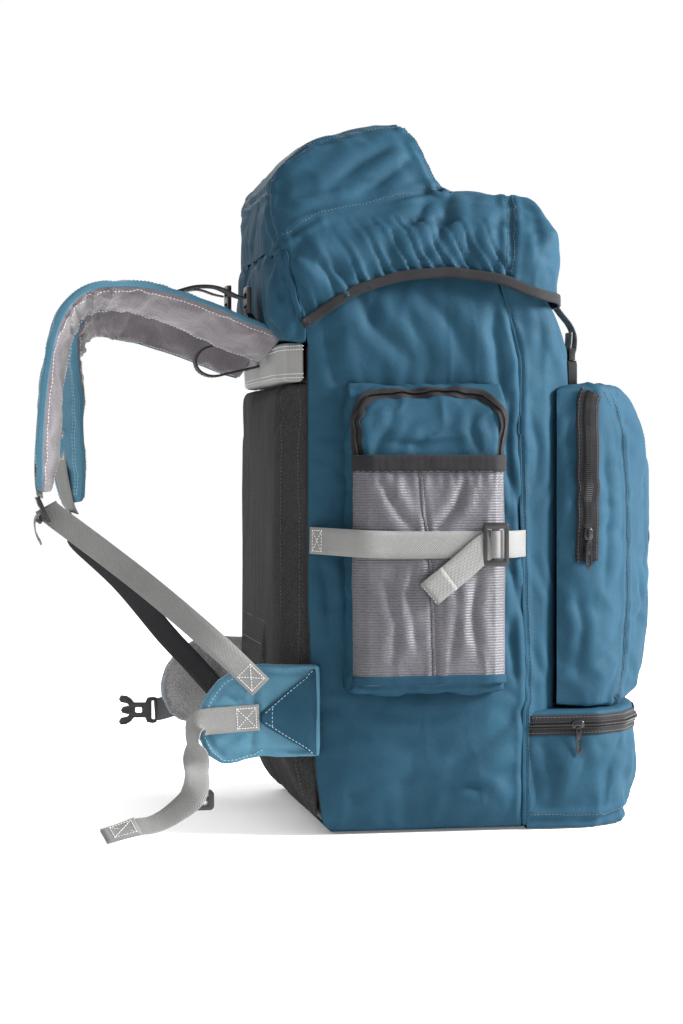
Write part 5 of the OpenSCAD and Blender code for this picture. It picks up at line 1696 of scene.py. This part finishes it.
keeper = plate("waist_socket", rounded(30, 18, 4), 9.0, placed((-265, -179.5, 39), (1, 0, 0), (0, 0, 1)),
               [slot_hole(0, 4.4, 20, 3.0), slot_hole(0, -2.6, 18, 4.4)], bevel=1.4)
dress(keeper, "hip_left", PLASTIC, ["waist_buckle_socket"])
a = math.radians(-8.0)
along, across = np.array([math.cos(a), math.sin(a), 0]), np.array([0, 0, 1])
prong_at = np.array([-268.0, 180.0, 82.0])
BARB = [(0, -13), (0, 13), (-4, 14), (-10, 13), (-12, 8), (-24, 8), (-27, 12), (-32, 15), (-38, 15.5), (-40, 12),
        (-38, 8.5),
        (-31, 7), (-29, 4.6), (-36, 3.2), (-38, 0), (-36, -3.2), (-29, -4.6), (-31, -7), (-38, -8.5), (-40, -12),
        (-38, -15.5), (-32, -15), (-27, -12), (-24, -8), (-12, -8), (-10, -13), (-4, -14)]
prong = plate("waist_prong", BARB, 6.0, placed(prong_at, along, across),
              [slot_hole(-3.4, 0, 3.6, 20), slot_hole(-19, 0, 7, 6)],
              bevel=1.2)
dress(prong, "hip_right", PLASTIC, ["waist_buckle_prong"])

# %% [markdown]
# ## Gear loops down the front, lid straps with their buckles

# %%
DAISY = [(203, 0, 346), (203.5, 0, 336), (207, 0, 330), (214.5, 0, 322), (214.5, 0, 308), (208, 0, 300),
         (207, 0, 290), (208, 0, 284),
         (215.5, 0, 277), (215.5, 0, 263), (208.5, 0, 256), (207, 0, 246), (207, 0, 240), (213, 0, 232),
         (211.5, 0, 217),
         (204, 0, 210), (202.5, 0, 200), (203, 0, 195), (206.5, 0, 188), (203.5, 0, 173), (197, 0, 165),
         (196, 0, 156)]
daisy, _ = ribbon("gear_loop_webbing", DAISY, [(1, 0, 0)] * len(DAISY), 20, 1.8, step=2.0)
dress(daisy, "pack", WEB_BLACK_AND_SHADE, ["gear_loops"])
backing, mid = ribbon("gear_loop_backing", [(204.5, 0, 350), (206.5, 0, 300), (207, 0, 250), (203, 0, 200),
                                            (196, 0, 160)],
                      [(1, 0, 0)] * 5, 22, 1.2)
dress(backing, "pack", WEB_BLACK_AND_SHADE)
tacks = []
for z, x in ((346, 204.2), (294, 208.4), (248, 208.4), (203, 204.4), (158, 197.6)):
    tacks += [[(x + 0.7, -8, z + k), (x + 0.7, 8, z + k)] for k in (-1.6, 1.6)]
row("gear_loop_bartacks", [resample(t, 2) for t in tacks], "pack", "black_webbing", THREAD_GREY, pitch=1.6,
    length=1.3)

for s, name in ((-1, "left"), (1, "right")):
    y = 62 * s
    route = [(101, y, 503), (108.5, y, 493), (117.5, y, 482), (122, y, 472), (122.6, y, 463), (121.5, y, 455),
             (119, y, 451),
             (116, y, 455), (117, y, 464), (117.5, y, 474)]
    facing_out = [(0.7, 0, 0.7), (0.7, 0, 0.7), (0.8, 0, 0.5), (1, 0, 0.1), (1, 0, 0), (0.8, 0, -0.6), (0, 0, -1),
                  (-1, 0, -0.2),
                  (-1, 0, 0), (-1, 0, 0)]
    strap, mid = ribbon("lid_strap_cloth_" + name, route, facing_out, 22, 1.5, step=2.5)
    dress(strap, "lid", WEB, ["lid_straps"])
    row("lid_strap_stitch_" + name, box_rows(mid, 0, 4), "lid", "grey_webbing", THREAD_GREY, pitch=2.6, length=1.8)
    base = plate("lid_buckle_body_" + name, [(-14, -12), (-12, -13), (12, -13), (14, -12), (14, 9), (11, 13),
                                             (5, 10.5), (-5, 10.5),
                                             (-11, 13), (-14, 9)], 8.6,
                 placed((117.6, y, 433), (0, 1, 0), (0, 0, 1)),
                 [slot_hole(0, -7.5, 20, 3.4), slot_hole(-10.2, 3.0, 3.6, 9.0), slot_hole(10.2, 3.0, 3.6, 9.0)],
                 bevel=1.4)
    dress(base, "pack", PLASTIC, ["lid_buckle_housings"])
    clip = plate("lid_prong_plate_" + name, [(-12, 14.3), (12, 14.3), (12.4, 22), (10, 25), (-10, 25),
                                             (-12.4, 22)], 5.6,
                 placed((117.6, y, 433), (0, 1, 0), (0, 0, 1)), [slot_hole(0, 20.2, 18, 3.6)], bevel=1.0)
    dress(clip, "lid_prong_" + name, PLASTIC)
    frame["nodes"]["lid_prong_" + name].data.materials.clear()
    frame["nodes"]["lid_prong_" + name].data.materials.append(PLASTIC)
    anchor, mid = ribbon("lid_buckle_anchor_" + name, [(112.8, y, 396), (113.4, y, 410), (114.8, y, 420),
                                                       (118.8, y, 424), (121, y, 426.4),
                                                       (119.4, y, 428), (116, y, 424), (113.8, y, 414)],
                         [(1, 0, 0), (1, 0, 0), (1, 0, 0), (0.7, 0, -0.7), (1, 0, 0.6), (0, 0, 1), (-1, 0, 0),
                          (-1, 0, 0)], 20, 1.3,
                         step=2.0)
    dress(anchor, "pack", WEB)

# %% [markdown]
# ## Inside the mouth: gathered collar, drawcord with its lock, and the divider floor

# %%
COLLAR = [(-158, 146), (24, 146), (44, 137), (58, 122), (70, 94), (76, 58), (77, 0)]
COLLAR = np.array(both(COLLAR, 1), float)
COLLAR = np.vstack([COLLAR, COLLAR[:1]])
collar_s = np.concatenate([[0], np.cumsum(np.linalg.norm(np.diff(COLLAR, axis=0), axis=1))])
collar_s /= collar_s[-1]


def collar_place(u, v):
    z = 487 + 45 * v
    shrink = 1 - 0.1 * v
    x = -30 + (np.interp(u, collar_s, COLLAR[:, 0]) + 30) * shrink
    y = np.interp(u, collar_s, COLLAR[:, 1]) * shrink
    gathered = 1.5 * np.sin(2 * np.pi * u * 62 + 2 * np.sin(2 * np.pi * u * 5)) * v
    length = np.hypot(x + 30, y)
    return x + (x + 30) / length * gathered, y + y / length * gathered, z


collar = grid("collar_cloth", collar_place, 400, 14)
faces_out(thick(collar, 1.0, offset=0.0))
dress(collar, "pack", COATING, ["collar"])
ledge = grid("collar_ledge", lambda u, v: (-30 + (np.interp(u, collar_s, COLLAR[:, 0]) + 30) * (1 + 0.085 * v),
                                          np.interp(u, collar_s, COLLAR[:, 1]) * (1 + 0.085 * v),
                                           488 - 2 * np.sin(np.pi * v)), 200, 6)
faces_out(thick(ledge, 1.0, offset=0.0))
dress(ledge, "pack", COATING)
loop = np.stack([-30 + (COLLAR[:, 0] + 30) * 0.9, COLLAR[:, 1] * 0.9, np.full(len(COLLAR), 533.6)], axis=1)
cord_line = smooth_line(loop[:-1], 4.0, closed=True)


def tube(name, line, radius, sides=8):
    """A round cord along a line."""
    ahead = unit(np.gradient(line, axis=0))
    side = unit(np.cross(ahead, np.where(np.abs(ahead[:, 2:]) > 0.9, [[1.0, 0, 0]], [[0, 0, 1.0]])))
    up = np.cross(side, ahead)
    angle = 2 * np.pi * np.arange(sides) / sides
    ring = line[:, None] + radius * (side[:, None] * np.cos(angle)[:, None] + up[:, None] * np.sin(angle)[:, None])
    m = len(line)
    faces = [(i * sides + j, i * sides + (j + 1) % sides, (i + 1) * sides + (j + 1) % sides, (i + 1) * sides + j)
             for i in range(m - 1) for j in range(sides)]
    faces += [tuple(range(sides))[::-1], tuple((m - 1) * sides + j for j in range(sides))]
    return faces_out(make(name, ring.reshape(-1, 3), faces))


drawcord = tube("drawcord_loop", np.vstack([cord_line, cord_line[:1]]), 1.7)
dress(drawcord, "pack", WEB_BLACK_AND_SHADE, ["drawcord"])
ends = [smooth_line([(64, -3 * s, 533), (62, -3 * s, 529), (57, -2 * s, 528), (48, -3 * s, 526), (42, -5 * s, 520),
                     (40, -9 * s, 512)], 3.0)
        for s in (-1, 1)]
for i, line in enumerate(ends):
    dress(tube("drawcord_end_%d" % i, line, 1.6), "pack", WEB_BLACK_AND_SHADE)
divider = grid("divider_cloth", lambda u, v: (-147 + (248 - 46 * np.abs(2 * v - 1) ** 6) * u, -154 + 308 * v,
                                              110.5 - 2.2 * np.sin(np.pi * u) * np.sin(np.pi * v)), 40, 44)
push(divider, 1.0 * noise(coords(divider), 40, 141))
faces_out(thick(divider, 1.2, offset=0.0))
dress(divider, "pack", COATING, ["divider_floor"])

# %% [markdown]
# Hard CAD parts that keep their own shape take their materials here.

# %%
for node_name, material in (("frame_sheet", SHEET_PLASTIC), ("back_stays", ALUMINIUM), ("cord_lock_body", PLASTIC),
                            ("cord_lock_button", PLASTIC)):
    mesh = frame["nodes"][node_name].data
    mesh.materials.clear()
    mesh.materials.append(material)
shown = [n for n, o in frame["nodes"].items() if not o.hide_render]
print("CAD nodes still shown:", shown)

# %% [markdown]
# ## Floor, light and camera

# %%
ground = bpy.data.meshes.new("ground")
ground.from_pydata([(-6, -6, -0.001), (6, -6, -0.001), (6, 8, -0.001), (-6, 8, -0.001)], [], [(0, 1, 2, 3)])
ground_obj = bpy.data.objects.new("ground", ground)
scene.collection.objects.link(ground_obj)
floor = hard("pale_floor", "#f6f6f5", rough=0.8, bump=0.0)
glow = next(n for n in floor.node_tree.nodes if n.type == "BSDF_PRINCIPLED").inputs
glow["Emission Color"].default_value = (1.0, 1.0, 1.0, 1.0)
glow["Emission Strength"].default_value = 0.14
ground.materials.append(floor)

world = bpy.data.worlds.new("studio")
scene.world = world
world.use_nodes = True
world.node_tree.nodes["Background"].inputs["Color"].default_value = (1.0, 1.0, 1.0, 1.0)
world.node_tree.nodes["Background"].inputs["Strength"].default_value = 1.0


def area_light(name, where, look, size, watts, tint="#ffffff"):
    data = bpy.data.lights.new(name, "AREA")
    data.shape = "RECTANGLE"
    data.size, data.size_y = size
    data.energy = watts
    data.color = srgb(tint)[:3]
    lamp = bpy.data.objects.new(name, data)
    scene.collection.objects.link(lamp)
    lamp.location = where
    lamp.rotation_euler = (Vector(look) - Vector(where)).to_track_quat("-Z", "Y").to_euler()
    return lamp


area_light("key", (2.5, -0.75, 1.5), (0.0, 0.0, 0.35), (1.0, 1.0), 330)
area_light("fill", (-2.2, -1.6, 1.9), (0.0, 0.0, 0.35), (1.3, 1.3), 8)
area_light("rim", (-0.6, 2.2, 1.9), (0.0, 0.0, 0.4), (1.6, 1.2), 24)

camera_data = bpy.data.cameras.new("camera")
camera = bpy.data.objects.new("camera", camera_data)
scene.collection.objects.link(camera)
camera_data.sensor_width = 36.0
camera_data.sensor_fit = "AUTO"
camera_data.lens = 80.9
camera_data.shift_y = -57 / 1024
camera_data.dof.use_dof = False
camera.location = (-0.4994, -2.2651, 0.353)
camera.rotation_euler = (math.radians(90), 0, math.radians(-10))
scene.camera = camera
scene.view_settings.view_transform = "Standard"
